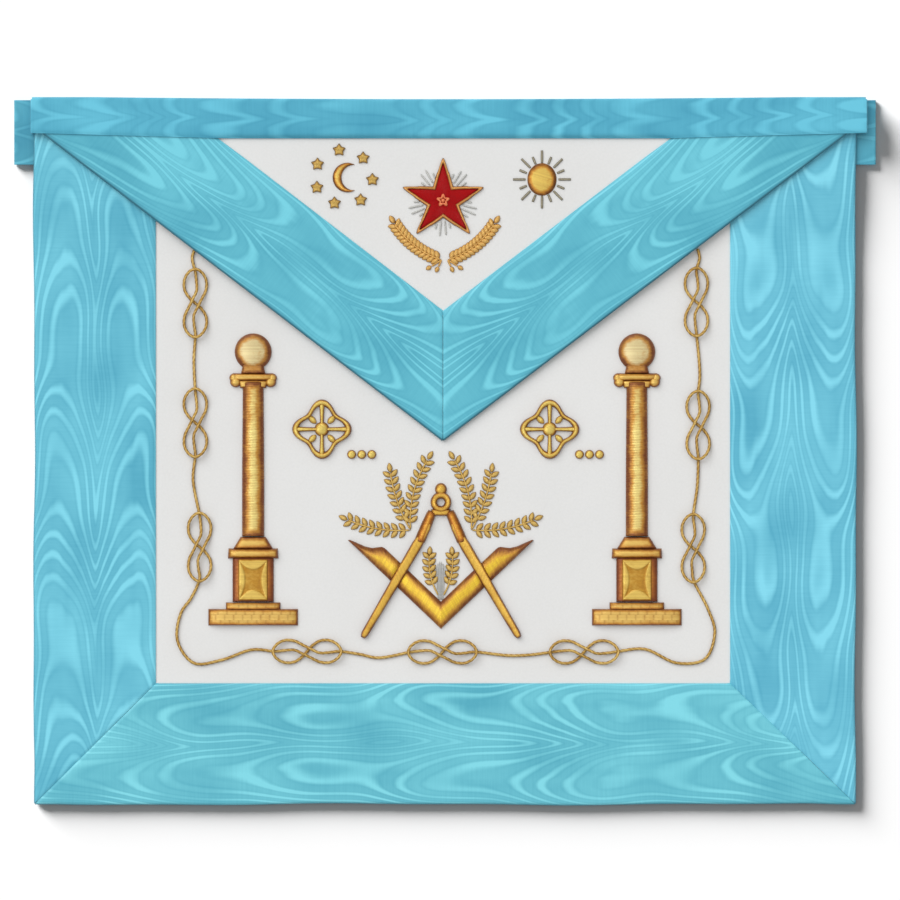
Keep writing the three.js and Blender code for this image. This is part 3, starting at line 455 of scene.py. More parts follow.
def math_node(tree, operation, *values):
    node = tree.nodes.new("ShaderNodeMath")
    node.operation = operation
    for socket, value in zip(node.inputs, values):
        socket_value(tree, socket, value)
    return node.outputs[0]


def mix_colour(tree, share, first, second):
    node = tree.nodes.new("ShaderNodeMix")
    node.data_type = "RGBA"
    for name, value in (("Factor_Float", share), ("A_Color", first), ("B_Color", second)):
        socket = next(s for s in node.inputs if s.identifier == name)
        socket_value(tree, socket, value)
    return next(s for s in node.outputs if s.identifier == "Result_Color")


def three_colours(tree, share, first, middle, last):
    """Runs from the first colour over the middle one to the last, for shares from 0 to 1."""
    near = mix_colour(tree, math_node(tree, "MULTIPLY", share, 2.0), first, middle)
    return mix_colour(tree, math_node(tree, "MULTIPLY_ADD", share, 2.0, -1.0), near, last)


def noise(tree, vector, scale, detail=2.0, roughness=0.5):
    node = tree.nodes.new("ShaderNodeTexNoise")
    node.inputs["Scale"].default_value = scale
    node.inputs["Detail"].default_value = detail
    node.inputs["Roughness"].default_value = roughness
    tree.links.new(vector, node.inputs["Vector"])
    return node.outputs["Fac"]


def one_of_each(tree, value):
    """A number from 0 to 1 that is the same wherever the value is the same."""
    node = tree.nodes.new("ShaderNodeTexWhiteNoise")
    node.noise_dimensions = "1D"
    tree.links.new(value, node.inputs["W"])
    return node.outputs["Value"]


def combine(tree, x, y, z=0.0):
    node = tree.nodes.new("ShaderNodeCombineXYZ")
    for socket, value in zip(node.inputs, (x, y, z)):
        socket_value(tree, socket, value)
    return node.outputs[0]


def new_group(name, inputs):
    """A node group with named inputs, whose outputs are a colour, a roughness and a height."""
    tree = bpy.data.node_groups.new(name, "ShaderNodeTree")
    kinds = {1: "NodeSocketFloat", 3: "NodeSocketVector", 4: "NodeSocketColor"}
    for label, default in inputs.items():
        kind = kinds[np.size(default)]
        socket = tree.interface.new_socket(name=label, in_out="INPUT", socket_type=kind)
        socket.default_value = default
    for label, kind in (("Color", kinds[4]), ("Roughness", kinds[1]), ("Height", kinds[1])):
        tree.interface.new_socket(name=label, in_out="OUTPUT", socket_type=kind)
    return tree, tree.nodes.new("NodeGroupInput").outputs, tree.nodes.new("NodeGroupOutput").inputs


def build_watered_silk(name):
    """Watered silk. A slow phase runs along the ribbon, bends into an arch in each half of
    its width and wanders with noise. The cosine of the phase gives pale and dark lines,
    painted shade darkens the ribbon where it turns under, and a fine rib runs across the
    whole ribbon."""
    tree, given, out = new_group(name, {
        "Across": 0.0,
        "Along": 0.0,
        "Half Width": 30.0,
        "Arch Length": 24.0,
        "Arch Depth": 2.6,
        "Wander": 1.0,
        "Fold Shade": 0.0,
        "Dark": (0.1, 0.4, 0.5, 1),
        "Middle": (0.15, 0.5, 0.6, 1),
        "Light": (0.2, 0.7, 0.85, 1),
    })
    calc = partial(math_node, tree)
    across, along, half = given["Across"], given["Along"], given["Half Width"]

    def wave_noise(place, width, length, depth, detail=0.0):
        """Noise from -0.5 to 0.5, stretched over a width and a length of the ribbon."""
        at = combine(tree, calc("DIVIDE", place, width), calc("DIVIDE", along, length), depth)
        return calc("SUBTRACT", noise(tree, at, 1.0, detail), 0.5)

    def cosine(turns):
        """A wave from 0 to 1."""
        wave = calc("COSINE", calc("MULTIPLY", turns, 2 * math.pi))
        return calc("MULTIPLY_ADD", wave, 0.5, 0.5)

    sway = calc("MULTIPLY", wave_noise(half, 90.0, 70.0, 3.7), half)
    centred = calc("MULTIPLY_ADD", sway, 0.3, across)
    folded = calc("SQRT", calc("MULTIPLY_ADD", centred, centred, 1.5))
    share = calc("DIVIDE", folded, half)
    lane = calc("DIVIDE", calc("SUBTRACT", share, 0.55), 0.45)
    arch = calc("MULTIPLY", calc("POWER", calc("ABSOLUTE", lane), 3.0), given["Arch Depth"])
    reach = calc("MULTIPLY", given["Wander"], 2.0)
    wander = calc("MULTIPLY", wave_noise(folded, 34.0, 54.0, 1.3), reach)
    fine = wave_noise(across, 5.0, 30.0, 4.1, 1.0)
    phase = calc("SUBTRACT", calc("DIVIDE", along, given["Arch Length"]), arch)
    phase = calc("MULTIPLY_ADD", fine, 0.24, calc("ADD", phase, wander))
    pale = calc("POWER", cosine(phase), 2.6)
    double = cosine(calc("MULTIPLY", phase, 2.0))
    trough = calc("POWER", calc("SUBTRACT", 1.0, double), 4.0)
    clear = calc("MULTIPLY_ADD", wave_noise(across, 19.0, 26.0, 11.5), 1.3, 0.36)
    clear = calc("MAXIMUM", clear, 0.1)
    tone = calc("MULTIPLY_ADD", pale, clear, 0.39)
    # The last of these parts is painted shade, which lowers the tone where the ribbon turns under.
    for part, weight in (
        (trough, -0.16),
        (wave_noise(across, 24.0, 48.0, 8.3, 1.0), 1.25),
        (fine, 0.3),
        (wave_noise(across, 14.0, 0.9, 6.2, 1.0), 0.22),
        (given["Fold Shade"], -0.7),
    ):
        tone = calc("MULTIPLY_ADD", part, weight, tone)
    colour = three_colours(tree, tone, given["Dark"], given["Middle"], given["Light"])
    # Painted shade: where the ribbon turns under, its colour is mixed toward a near black teal.
    shadow = calc("MULTIPLY", given["Fold Shade"], 0.7)
    tree.links.new(mix_colour(tree, shadow, colour, (0.02, 0.09, 0.13, 1)), out["Color"])
    tree.links.new(calc("MULTIPLY_ADD", pale, -0.12, 0.52), out["Roughness"])
    rib = calc("SINE", calc("MULTIPLY", along, 2 * math.pi / 0.62))
    rib = calc("MULTIPLY_ADD", rib, 0.5, 0.5)
    height = calc("MULTIPLY_ADD", pale, 0.6, calc("MULTIPLY", rib, 0.35))
    tree.links.new(height, out["Height"])


def build_metal_thread(name):
    """Laid metal thread. Each thread is half a sine of the place along the pad, with painted
    shade in the grooves between threads. Its colour runs from a painted highlight in the
    middle of the pad to painted shade at its rim, partly a brown outline, and noise wears
    it. Courses draw dark lines and joints like those of brickwork, at a share of their full
    strength."""
    tree, given, out = new_group(name, {
        "Across": 0.0,
        "Along": 0.0,
        "Rim Shade": 0.0,
        "Pitch": 0.6,
        "Slant": 0.3,
        "Courses": 0.0,
        "Light": (0.8, 0.6, 0.2, 1),
        "Middle": (0.6, 0.4, 0.1, 1),
        "Dark": (0.2, 0.08, 0.02, 1),
    })
    calc = partial(math_node, tree)
    across, along = given["Across"], given["Along"]

    def ridge(turns):
        """Half a sine from 0 to 1 for each turn."""
        return calc("ABSOLUTE", calc("SINE", calc("MULTIPLY", turns, math.pi)))

    turns = calc("ADD", along, calc("MULTIPLY", across, given["Slant"]))
    turns = calc("DIVIDE", turns, given["Pitch"])
    thread = ridge(turns)
    each = one_of_each(tree, calc("FLOOR", turns))
    worn_at = combine(tree, calc("DIVIDE", across, 2.2), calc("DIVIDE", along, 1.4))
    slow_at = combine(tree, calc("DIVIDE", across, 6.0), calc("DIVIDE", along, 9.0), 2.7)
    worn = calc("ADD", noise(tree, worn_at, 1.0, 3.0, 0.6), noise(tree, slow_at, 1.0, 1.0))
    # Painted shade at the rim and a painted highlight in the middle of the pad, partly a brown
    # outline, shifted by wear noise.
    rim = calc("MULTIPLY_ADD", calc("SUBTRACT", worn, 1.0), 0.75, given["Rim Shade"])
    worn = calc("MULTIPLY", worn, 0.5)
    colour = three_colours(tree, rim, given["Light"], given["Middle"], given["Dark"])
    # Painted shade in the grooves between threads. The shade below also carries each thread's own
    # random tone and the dark joints of the courses, which belong to the thread.
    groove = calc("POWER", calc("SUBTRACT", 1.0, thread), 2.0)
    shade = calc("MULTIPLY_ADD", groove, 0.55, calc("MULTIPLY", each, 0.22))
    level = calc("DIVIDE", along, 2.6)
    joint = calc("DIVIDE", across, 4.4)
    joint = calc("ADD", joint, one_of_each(tree, calc("FLOOR", level)))
    marks = 0.0
    for turn, weight in ((joint, 0.8), (level, 0.45)):
        line = calc("POWER", calc("SUBTRACT", 1.0, ridge(turn)), 3.0)
        marks = calc("MULTIPLY_ADD", line, weight, marks)
    marks = calc("MULTIPLY", marks, calc("MULTIPLY", worn, 2.0))
    shade = calc("MULTIPLY_ADD", marks, given["Courses"], shade)
    shade = calc("MINIMUM", shade, 1.0)
    dark = mix_colour(tree, 0.6, given["Middle"], given["Dark"])
    tree.links.new(mix_colour(tree, shade, colour, dark), out["Color"])
    tree.links.new(calc("MULTIPLY_ADD", worn, 0.3, 0.22), out["Roughness"])
    tree.links.new(thread, out["Height"])


def build_leather_grain(name):
    """Leather grain: pebbles from a cell pattern, with pores and a slow mottling."""
    tree, given, out = new_group(name, {
        "Vector": (0, 0, 0),
        "Grain": 900.0,
        "Light": (0.8, 0.8, 0.8, 1),
        "Shade": (0.7, 0.7, 0.7, 1),
    })
    calc = partial(math_node, tree)
    cells = tree.nodes.new("ShaderNodeTexVoronoi")
    cells.feature = "SMOOTH_F1"
    cells.inputs["Smoothness"].default_value = 0.6
    tree.links.new(given["Vector"], cells.inputs["Vector"])
    tree.links.new(given["Grain"], cells.inputs["Scale"])
    pebble = cells.outputs["Distance"]
    mottle = noise(tree, given["Vector"], 26.0, 3.0)
    slow = noise(tree, given["Vector"], 9.0, 1.0)
    share = calc("MULTIPLY_ADD", pebble, 0.3, calc("MULTIPLY", mottle, 0.45))
    share = calc("MULTIPLY_ADD", slow, 0.35, calc("SUBTRACT", share, 0.15))
    tree.links.new(mix_colour(tree, share, given["Light"], given["Shade"]), out["Color"])
    tree.links.new(calc("MULTIPLY_ADD", mottle, 0.25, 0.42), out["Roughness"])
    height = calc("MULTIPLY_ADD", pebble, -0.8, calc("MULTIPLY", mottle, 0.5))
    tree.links.new(height, out["Height"])


GROUP_BUILDERS = {
    "watered silk": build_watered_silk,
    "metal thread": build_metal_thread,
    "leather grain": build_leather_grain,
}


def start_material(name, roughness=0.5, metallic=0.0):
    """A material with nothing but its output and a plain shader."""
    material = bpy.data.materials.new(name)
    material.use_nodes = True
    tree = material.node_tree
    shader = tree.nodes["Principled BSDF"]
    shader.inputs["Roughness"].default_value = roughness
    shader.inputs["Metallic"].default_value = metallic
    return material, tree, shader


def place_group(tree, shader, name, values, bump, distance):
    """Places a group in a material, gives it values and feeds the shader from it. The group
    is built when it is first placed."""
    if name not in bpy.data.node_groups:
        GROUP_BUILDERS[name](name)
    node = tree.nodes.new("ShaderNodeGroup")
    node.node_tree = bpy.data.node_groups[name]
    for label, value in values.items():
        socket_value(tree, node.inputs[label], value)
    tree.links.new(node.outputs["Color"], shader.inputs["Base Color"])
    tree.links.new(node.outputs["Roughness"], shader.inputs["Roughness"])
    relief = tree.nodes.new("ShaderNodeBump")
    relief.inputs["Strength"].default_value = bump
    relief.inputs["Distance"].default_value = distance * MM
    tree.links.new(node.outputs["Height"], relief.inputs["Height"])
    tree.links.new(relief.outputs["Normal"], shader.inputs["Normal"])


def weave_values(tree, shade_label):
    """The piece's own texture places across and along in millimetres, and its rim, which carries the
    share of painted shade.
    """
    uv = tree.nodes.new("ShaderNodeUVMap")
    uv.uv_map = "weave"
    parts = tree.nodes.new("ShaderNodeSeparateXYZ")
    tree.links.new(uv.outputs[0], parts.inputs[0])
    rim = tree.nodes.new("ShaderNodeAttribute")
    rim.attribute_name = "rim"
    return {"Across": parts.outputs[0], "Along": parts.outputs[1], shade_label: rim.outputs["Fac"]}


def silk_material(name, half_width, arch_length, arch_depth, wander, tint=(1, 1, 1)):
    """Watered silk. Its tint is a factor of the user's three tones."""
    silk = bpy.context.scene.apron_silk
    material, tree, shader = start_material(f"watered silk, {name}")
    values = weave_values(tree, "Fold Shade")
    values["Half Width"] = half_width
    values["Arch Length"] = arch_length
    values["Arch Depth"] = arch_depth
    values["Wander"] = wander
    for label, colour in (("Dark", silk.dark), ("Middle", silk.middle), ("Light", silk.light)):
        values[label] = (*(np.array(colour) * tint), 1)
    place_group(tree, shader, "watered silk", values, 0.25, 0.08)
    shader.inputs["Sheen Weight"].default_value = 0.15
    shader.inputs["Sheen Roughness"].default_value = 0.4
    shader.inputs["Specular IOR Level"].default_value = 0.35
    return material


def screen(red, green, blue):
    """A colour as a screen shows it, from 0 to 255, turned into linear light."""
    parts = np.array([red, green, blue]) / 255
    return tuple(np.where(parts <= 0.04045, parts / 12.92, ((parts + 0.055) / 1.055) ** 2.4))


# Materials of laid thread: the light, middle and dark colour as a screen shows them, the
# pitch and the slant of the threads, how metallic they are and how clear their courses
# are. The light colour is a painted highlight in the middle of a pad and the dark colour
# painted shade at its rim. None stands for the user's pale, main or brown gold.
THREADS = {
    "gold thread, shaft": (None, (206, 146, 54), None, 0.8, 0.0, 0.35, 0.0),
    "gold thread, blocks": ((246, 206, 108), (208, 146, 52), None, 0.65, 0.0, 0.35, 0.0),
    "gold thread, courses": ((246, 208, 112), (212, 150, 54), None, 0.65, 0.0, 0.35, 0.5),
    "gold thread, frames": ((206, 140, 52), (170, 98, 32), None, 0.65, 0.0, 0.35, 0.0),
    "gold thread, panels": ((242, 208, 104), (196, 142, 36), (138, 84, 20), 0.55, 0.0, 0.35, 0.0),
    "gold thread, globes": ((248, 232, 174), (214, 154, 70), None, 0.45, 0.0, 0.35, 0.0),
    "gold thread, padded": ((255, 216, 60), None, None, 0.6, 0.5, 0.35, 0.0),
    "gold thread, dark": ((255, 190, 70), (202, 122, 32), (122, 70, 20), 0.6, 0.5, 0.35, 0.0),
    "gold thread, flat": ((254, 206, 86), (212, 156, 58), None, 0.5, 0.8, 0.35, 0.0),
    "gold thread, ornaments": ((252, 226, 120), (226, 176, 70), None, 0.5, 0.6, 0.35, 0.0),
    "gold thread, leaves": ((236, 200, 112), (194, 148, 62), (100, 70, 28), 0.5, 0.6, 0.25, 0.0),
    "gold thread, star rim": ((240, 178, 96), (212, 140, 74), (124, 84, 44), 0.5, 0.6, 0.35, 0.0),
    "gold thread, rosette": ((250, 150, 98), (232, 108, 70), (150, 44, 26), 0.5, 0.6, 0.35, 0.0),
    "gold thread, moon": ((255, 220, 110), (222, 150, 50), (104, 54, 16), 0.45, 0.3, 0.35, 0.0),
    "gold thread, small stars": ((236, 196, 104), (204, 158, 74), (122, 88, 40), 0.4, 0.5, 0.35, 0.0),
    "gold thread, sun rays": ((186, 178, 156), (146, 136, 112), (96, 86, 66), 0.35, 0.2, 0.35, 0.0),
    "gold thread, wreath": ((246, 198, 112), (212, 156, 76), (122, 78, 34), 0.45, 0.5, 0.35, 0.0),
    "couched rope": ((250, 216, 128), (198, 150, 64), (102, 72, 26), 0.5, 1.0, 0.25, 0.0),
    "silver thread": ((226, 226, 222), (192, 192, 187), (136, 136, 130), 0.4, 0.3, 0.3, 0.0),
    "red satin": ((176, 14, 18), (162, 10, 14), (116, 4, 8), 0.45, 0.6, 0.0, 0.0),
}
SATIN_SHINE = 0.12


def thread_material(name):
    """A material of laid thread, made when it is first asked for."""
    if name in bpy.data.materials:
        return bpy.data.materials[name]
    light, middle, dark, pitch, slant, metallic, courses = THREADS[name]
    gold = bpy.context.scene.apron_gold
    material, tree, shader = start_material(name, metallic=metallic)
    values = weave_values(tree, "Rim Shade")
    values["Pitch"] = pitch
    values["Slant"] = slant
    values["Courses"] = courses
    for label, colour, own in (
        ("Light", light, gold.pale),
        ("Middle", middle, gold.gold),
        ("Dark", dark, gold.brown),
    ):
        values[label] = (*(screen(*colour) if colour else own), 1)
    place_group(tree, shader, "metal thread", values, 0.6, 0.2)
    if not metallic:
        shader.inputs["Specular IOR Level"].default_value = SATIN_SHINE
    return material


def leather_material():
    if "white leather" in bpy.data.materials:
        return bpy.data.materials["white leather"]
    leather = bpy.context.scene.apron_leather
    material, tree, shader = start_material("white leather")
    values = {
        "Vector": tree.nodes.new("ShaderNodeTexCoord").outputs["Object"],
        "Grain": 1000 / leather.grain_size,
        "Light": (*leather.colour, 1),
        "Shade": (*leather.shade, 1),
    }
    place_group(tree, shader, "leather grain", values, 0.3, 0.12)
    return material


# Settings that a user would change


def colour_setting(name, description, *colour):
    return FloatVectorProperty(
        name=name, description=description, default=screen(*colour), subtype="COLOR"
    )


def length_setting(name, description, default, low, high):
    return FloatProperty(
        name=name, description=description, default=default, min=low, max=high,
        unit="LENGTH", precision=5,
    )


def strength_setting(name, description, default, high=20):
    return FloatProperty(
        name=name, description=f"Strength of the {description}", default=default, min=0, max=high
    )


class ApronSilk(bpy.types.PropertyGroup):
    """Colours and thickness of the watered silk ribbons"""

    thickness: length_setting(
        "Ribbon Thickness", "Thickness of a folded ribbon", 0.0007, 0.0002, 0.001
    )
    dark: colour_setting("Dark Tone", "Silk between the pale lines", 80, 170, 196)
    middle: colour_setting("Middle Tone", "The silk's main colour", 104, 192, 214)
    light: colour_setting("Light Tone", "The pale lines of the watering", 128, 216, 236)


class ApronLeather(bpy.types.PropertyGroup):
    """Colour and grain of the white leather"""

    colour: colour_setting("Colour", "Main colour of the leather", 230, 230, 229)
    shade: colour_setting("Shade", "Colour of its slow mottling", 216, 216, 214)
    grain_size: FloatProperty(
        name="Grain Size",
        description="Size of one pebble of the grain, in millimetres",
        default=1.1,
        min=0.3,
        max=4,
    )


class ApronGold(bpy.types.PropertyGroup):
    """Colours of the metal thread and size of the rope"""

    # The pale gold is a painted highlight in a pad's middle, and the brown gold painted shade at its
    # rim, partly a brown outline.
    pale: colour_setting("Pale Gold", "Lit middle of a pad", 250, 230, 142)
    gold: colour_setting("Gold", "Main colour of the thread", 218, 158, 58)
    brown: colour_setting("Brown Gold", "Colour at the rim of a pad", 118, 56, 26)
    rope_diameter: length_setting(
        "Rope Diameter", "Diameter of the couched rope", 0.0015, 0.0008, 0.0022
    )
    strands: IntProperty(
        name="Strands", description="Strands twisted into the rope", default=3, min=2, max=5
    )


class ApronStage(bpy.types.PropertyGroup):
    """Camera and light"""

    view_width: length_setting(
        "View Width", "Width that the camera takes in at the apron", 0.4385, 0.1, 2
    )
    lens: FloatProperty(
        name="Lens",
        description="Focal length of the camera",
        default=300,
        min=20,
        max=400,
        unit="CAMERA",
    )
    floor_key: strength_setting("Floor Key", "light from the upper left on the floor", 9.9)
    key: strength_setting("Key", "light from the upper left on the apron", 1.7)
    fill: strength_setting("Fill", "soft light from above on the apron", 1.3)
    surround: strength_setting("Surround", "white surround", 0.22, 5)


# Leather and silk


def ribbon_profile(face_width, level, drop, hem):
    """A folded ribbon's section: the face from its inner edge, a half ellipse round the
    outer edge, and the hem back under it. Returns insets from the outer edge, heights
    above the level, the length run from the inner edge and painted shade, which grows
    the further the section has turned down round the edge and under."""
    radius = drop / 2
    face = np.concatenate([
        face_width - np.array([0, 0.25, 0.5, 0.8, 1.2, 1.8, 2.6]),
        np.linspace(face_width - 4, 5, 22),
        [3.6, 2.8, 2.2],
    ])
    sink = np.exp(-(((face_width - face) / 1.1) ** 2))
    crown = 0.16 * np.sin(math.pi * np.clip(face / face_width, 0, 1)) ** 0.6
    face_height = level - 0.62 * sink + crown
    turn = np.linspace(0, math.pi, BEND_POINTS)
    bend = radius * 1.05 * (1 - np.sin(turn))
    fold_height = level - radius + radius * np.cos(turn)
    inset = np.concatenate([face, bend])
    height = np.concatenate([face_height, fold_height])
    if hem:
        inset = np.concatenate([inset, np.linspace(radius + 1, hem, HEM_POINTS)])
        height = np.concatenate([height, np.full(HEM_POINTS, level - drop)])
    run = running_length(joined(inset, height))
    # Painted shade: darker the lower the section has turned round the outer edge and under it.
    fold_shade = np.clip((level - 0.2 - height) / 1.2, 0, 1) * (inset < face_width - 3)
    return inset, height, run, fold_shade


def seam_sink(depth, seam):
    """How far a ribbon sinks at a distance from a seam: a bell curve 0.9 wide."""
    return depth * np.exp(-((seam / 0.9) ** 2))


def edge_wander(along, seed):
    """How far a ribbon's outer edge strays from a straight line: up to half a millimetre."""
    return 0.35 * np.sin(along / 31 + 2 * seed) + 0.2 * np.sin(along / 13 + seed)


def side_face(side):
    """The width of a side ribbon's face."""
    return abs(side * HALF_WIDTH - (OPENING_LEFT if side < 0 else OPENING_RIGHT))


def mitre_slope(side):
    """How far a lower corner's mitre rises for each step to the middle."""
    return (OPENING_FOOT - FOOT) / side_face(side)


def side_border(side):
    """A side ribbon: its section is carried up the apron from the mitre to the top. It
    sinks a little into the mitre, and its hem stops below the belt."""
    face_width = side_face(side)
    level = LEATHER_TOP + GAP
    inset, height, run, fold_shade = ribbon_profile(face_width, level + RIBBON / 2, level, HEM_WIDTH)
    low = FOOT + mitre_slope(side) * inset + SEAM_GAP
    hem_top = BELT_LOW[1] - GAP
    visible = len(inset) - HEM_POINTS - BEND_POINTS // 2
    surfaces = []
    for high, shown, start, rows in (
        (hem_top, slice(None), low, edge_shares(SHEET_TOP - FOOT, 3, 3.4)),
        (SHEET_TOP, slice(0, visible), np.full(visible, hem_top), np.linspace(0, 1, 10)),
    ):
        y = start + (high - start) * rows[:, None]
        near = np.clip(1 - inset[shown] / face_width, 0, 1) * (y - FOOT > 5)
        wander = edge_wander(y, side) * smooth_step((y - FOOT - 5) / 20) * near
        x = side * (HALF_WIDTH - inset[shown] + wander)
        upper = height[shown] > 2
        z = height[shown] - seam_sink(0.4, y - low[shown]) * upper + rise_at(y)
        z = z + 0.06 * ripple(x, y, 55, 1.0 + side) * upper
        across = run[shown] - face_width / 2
        surfaces.append(face_up(grid(joined(x, y, z), across, side * y, fold_shade[shown])))
    return surfaces


def bottom_border():
    """The bottom ribbon: the same section carried from mitre to mitre."""
    face_width = OPENING_FOOT - FOOT
    level = LEATHER_TOP + GAP
    inset, height, run, fold_shade = ribbon_profile(face_width, level + RIBBON / 2, level, HEM_WIDTH)
    ends = [
        side * (HALF_WIDTH - (inset + SEAM_GAP) / mitre_slope(side)) for side in (-1, 1)
    ]
    share = edge_shares(2 * HALF_WIDTH, 3, 3.4)[:, None]
    x = ends[0] + (ends[1] - ends[0]) * share
    seam = np.minimum(x - ends[0], ends[1] - x)
    near = np.clip(1 - inset / face_width, 0, 1) * smooth_step((seam - 5) / 20)
    y = FOOT + inset - edge_wander(x, 3.0) * near
    upper = height > 2
    z = height - seam_sink(0.4, seam) * upper + 0.06 * ripple(x, y, 55, 4.0) * upper
    return [face_up(grid(joined(x, y, z), run - face_width / 2, x, fold_shade))]


def flap_border(side):
    """A ribbon of the flap: its section is carried up the slanting edge from the seam at
    the tip, and cut off at the side and at the top."""
    corner = np.array([side * FLAP_HALF, FLAP_CORNER])
    ahead = corner - FLAP_TIP
    reach = np.linalg.norm(ahead)
    ahead = ahead / reach
    inward = np.array([-side * ahead[1], side * ahead[0]])
    drop = FLAP_LEATHER + GAP
    inset, height, run, fold_shade = ribbon_profile(FLAP_RIBBON_WIDTH, drop + RIBBON / 2, drop, 0)
    start = (side * SEAM_GAP - inset * inward[0]) / ahead[0]
    to_side = (corner[0] - FLAP_TIP[0] - inset * inward[0]) / ahead[0]
    to_top = (SHEET_TOP - FLAP_TIP[1] - inset * inward[1]) / ahead[1]
    end = np.minimum(to_side, to_top)
    place = start + (end - start) * edge_shares(reach, 3, 3.2)[:, None]
    x = FLAP_TIP[0] + place * ahead[0] + inset * inward[0]
    y = FLAP_TIP[1] + place * ahead[1] + inset * inward[1]
    z = flap_under(y) + height - seam_sink(0.35, place - start)
    z = z + 0.05 * ripple(x, y, 48, 2.0 + side)
    # Painted shade: a dark line along the flap's outer edge.
    fold_shade = np.maximum(fold_shade, smooth_step((1.0 - inset) / 0.6))
    points = joined(x, with_sag(x, y), z)
    return [face_up(grid(points, run - FLAP_RIBBON_WIDTH / 2, place, fold_shade))]


def add_silk(name, grids, looks, node, flat, rests_on, slot="moire_silk", **more):
    """A new ribbon of watered silk. Its flat size in metres is not used."""
    thickness = bpy.context.scene.apron_silk.thickness / MM
    piece = add_piece(name, grids, silk_material(*looks), [node], thickness)


class APRON_OT_leather(bpy.types.Operator):
    """The white leather panel, which rises over the belt, and the leather of the flap"""

    bl_idname = "apron.leather"
    bl_label = "Leather Panel and Flap"

    def execute(self, context):
        x, y = np.meshgrid(
            np.linspace(PANEL_LOW[0], PANEL_HIGH[0], 150),
            np.linspace(PANEL_LOW[1], PANEL_HIGH[1], 130),
        )
        middle = LEATHER_TOP - STITCH_GAP - PANEL_LEATHER / 2
        z = middle + rise_at(y) + 0.05 * ripple(x, y, 70)
        surface = grid(joined(x, with_sag(x, y), z), x, y)
        panel = add_piece(
            "leather_panel", [surface], leather_material(), ["panel"],
            thickness=PANEL_LEATHER,
        )
        low_y = FLAP_TIP[1] + 4
        side, y = np.meshgrid(np.linspace(-1, 1, 90), np.linspace(low_y, SHEET_TOP, 70))
        slope = (FLAP_CORNER - FLAP_TIP[1]) / FLAP_HALF
        half = np.minimum((y - FLAP_TIP[1] - 2) / slope, FLAP_HALF - 1.3)
        x = FLAP_TIP[0] * np.clip((FLAP_CORNER - y) / 150, 0, 1) + half * side
        z = flap_under(y) + FLAP_LEATHER / 2 + 0.04 * ripple(x, y, 60, 3.0)
        surface = grid(joined(x, with_sag(x, y), z), x, y)
        flap = add_piece(
            "leather_flap", [surface], leather_material(), ["flap"],
            thickness=FLAP_LEATHER - 2 * STITCH_GAP,
        )
        return {"FINISHED"}


class APRON_OT_borders(bpy.types.Operator):
    """The three watered silk ribbons folded round the panel's edge, mitred at the corners"""

    bl_idname = "apron.borders"
    bl_label = "Silk Borders"

    def execute(self, context):
        width = (HEM_WIDTH + BORDER_FACE) * MM
        under = ["leather_panel"]
        for side, name, arch_length, tint in (
            (-1, "left", 20, (1, 1, 1)),
            (1, "right", 25, (1.06, 1.02, 1.03)),
        ):
            add_silk(
                f"silk_border_{name}",
                side_border(side),
                (f"{name} border", 30, arch_length, 1.6, 2.8, tint),
                f"border_{name}",
                (width, (SHEET_TOP - FOOT) * MM),
                under,
                area=0.0245,
            )
        add_silk(
            "silk_border_bottom",
            bottom_border(),
            ("bottom border", 29, 27, 1.7, 2.6, (1.01, 1.01, 0.95)),
            "border_bottom",
            (width, 2 * HALF_WIDTH * MM),
            under,
            area=0.0285,
        )
        return {"FINISHED"}


class APRON_OT_flap_borders(bpy.types.Operator):
    """The two silk ribbons of the flap, which meet in an upright seam at its tip"""

    bl_idname = "apron.flap_borders"
    bl_label = "Flap Ribbons"

    def execute(self, context):
        for side, name in ((-1, "left"), (1, "right")):
            add_silk(
                f"silk_flap_border_{name}",
                flap_border(side),
                (f"{name} flap ribbon", 25, 24, 1.9, 2.8, (0.84, 0.94, 0.92)),
                f"flap_border_{name}",
                (0.055, 0.285),
                ["leather_flap"],
                area=0.0128,
            )
        return {"FINISHED"}


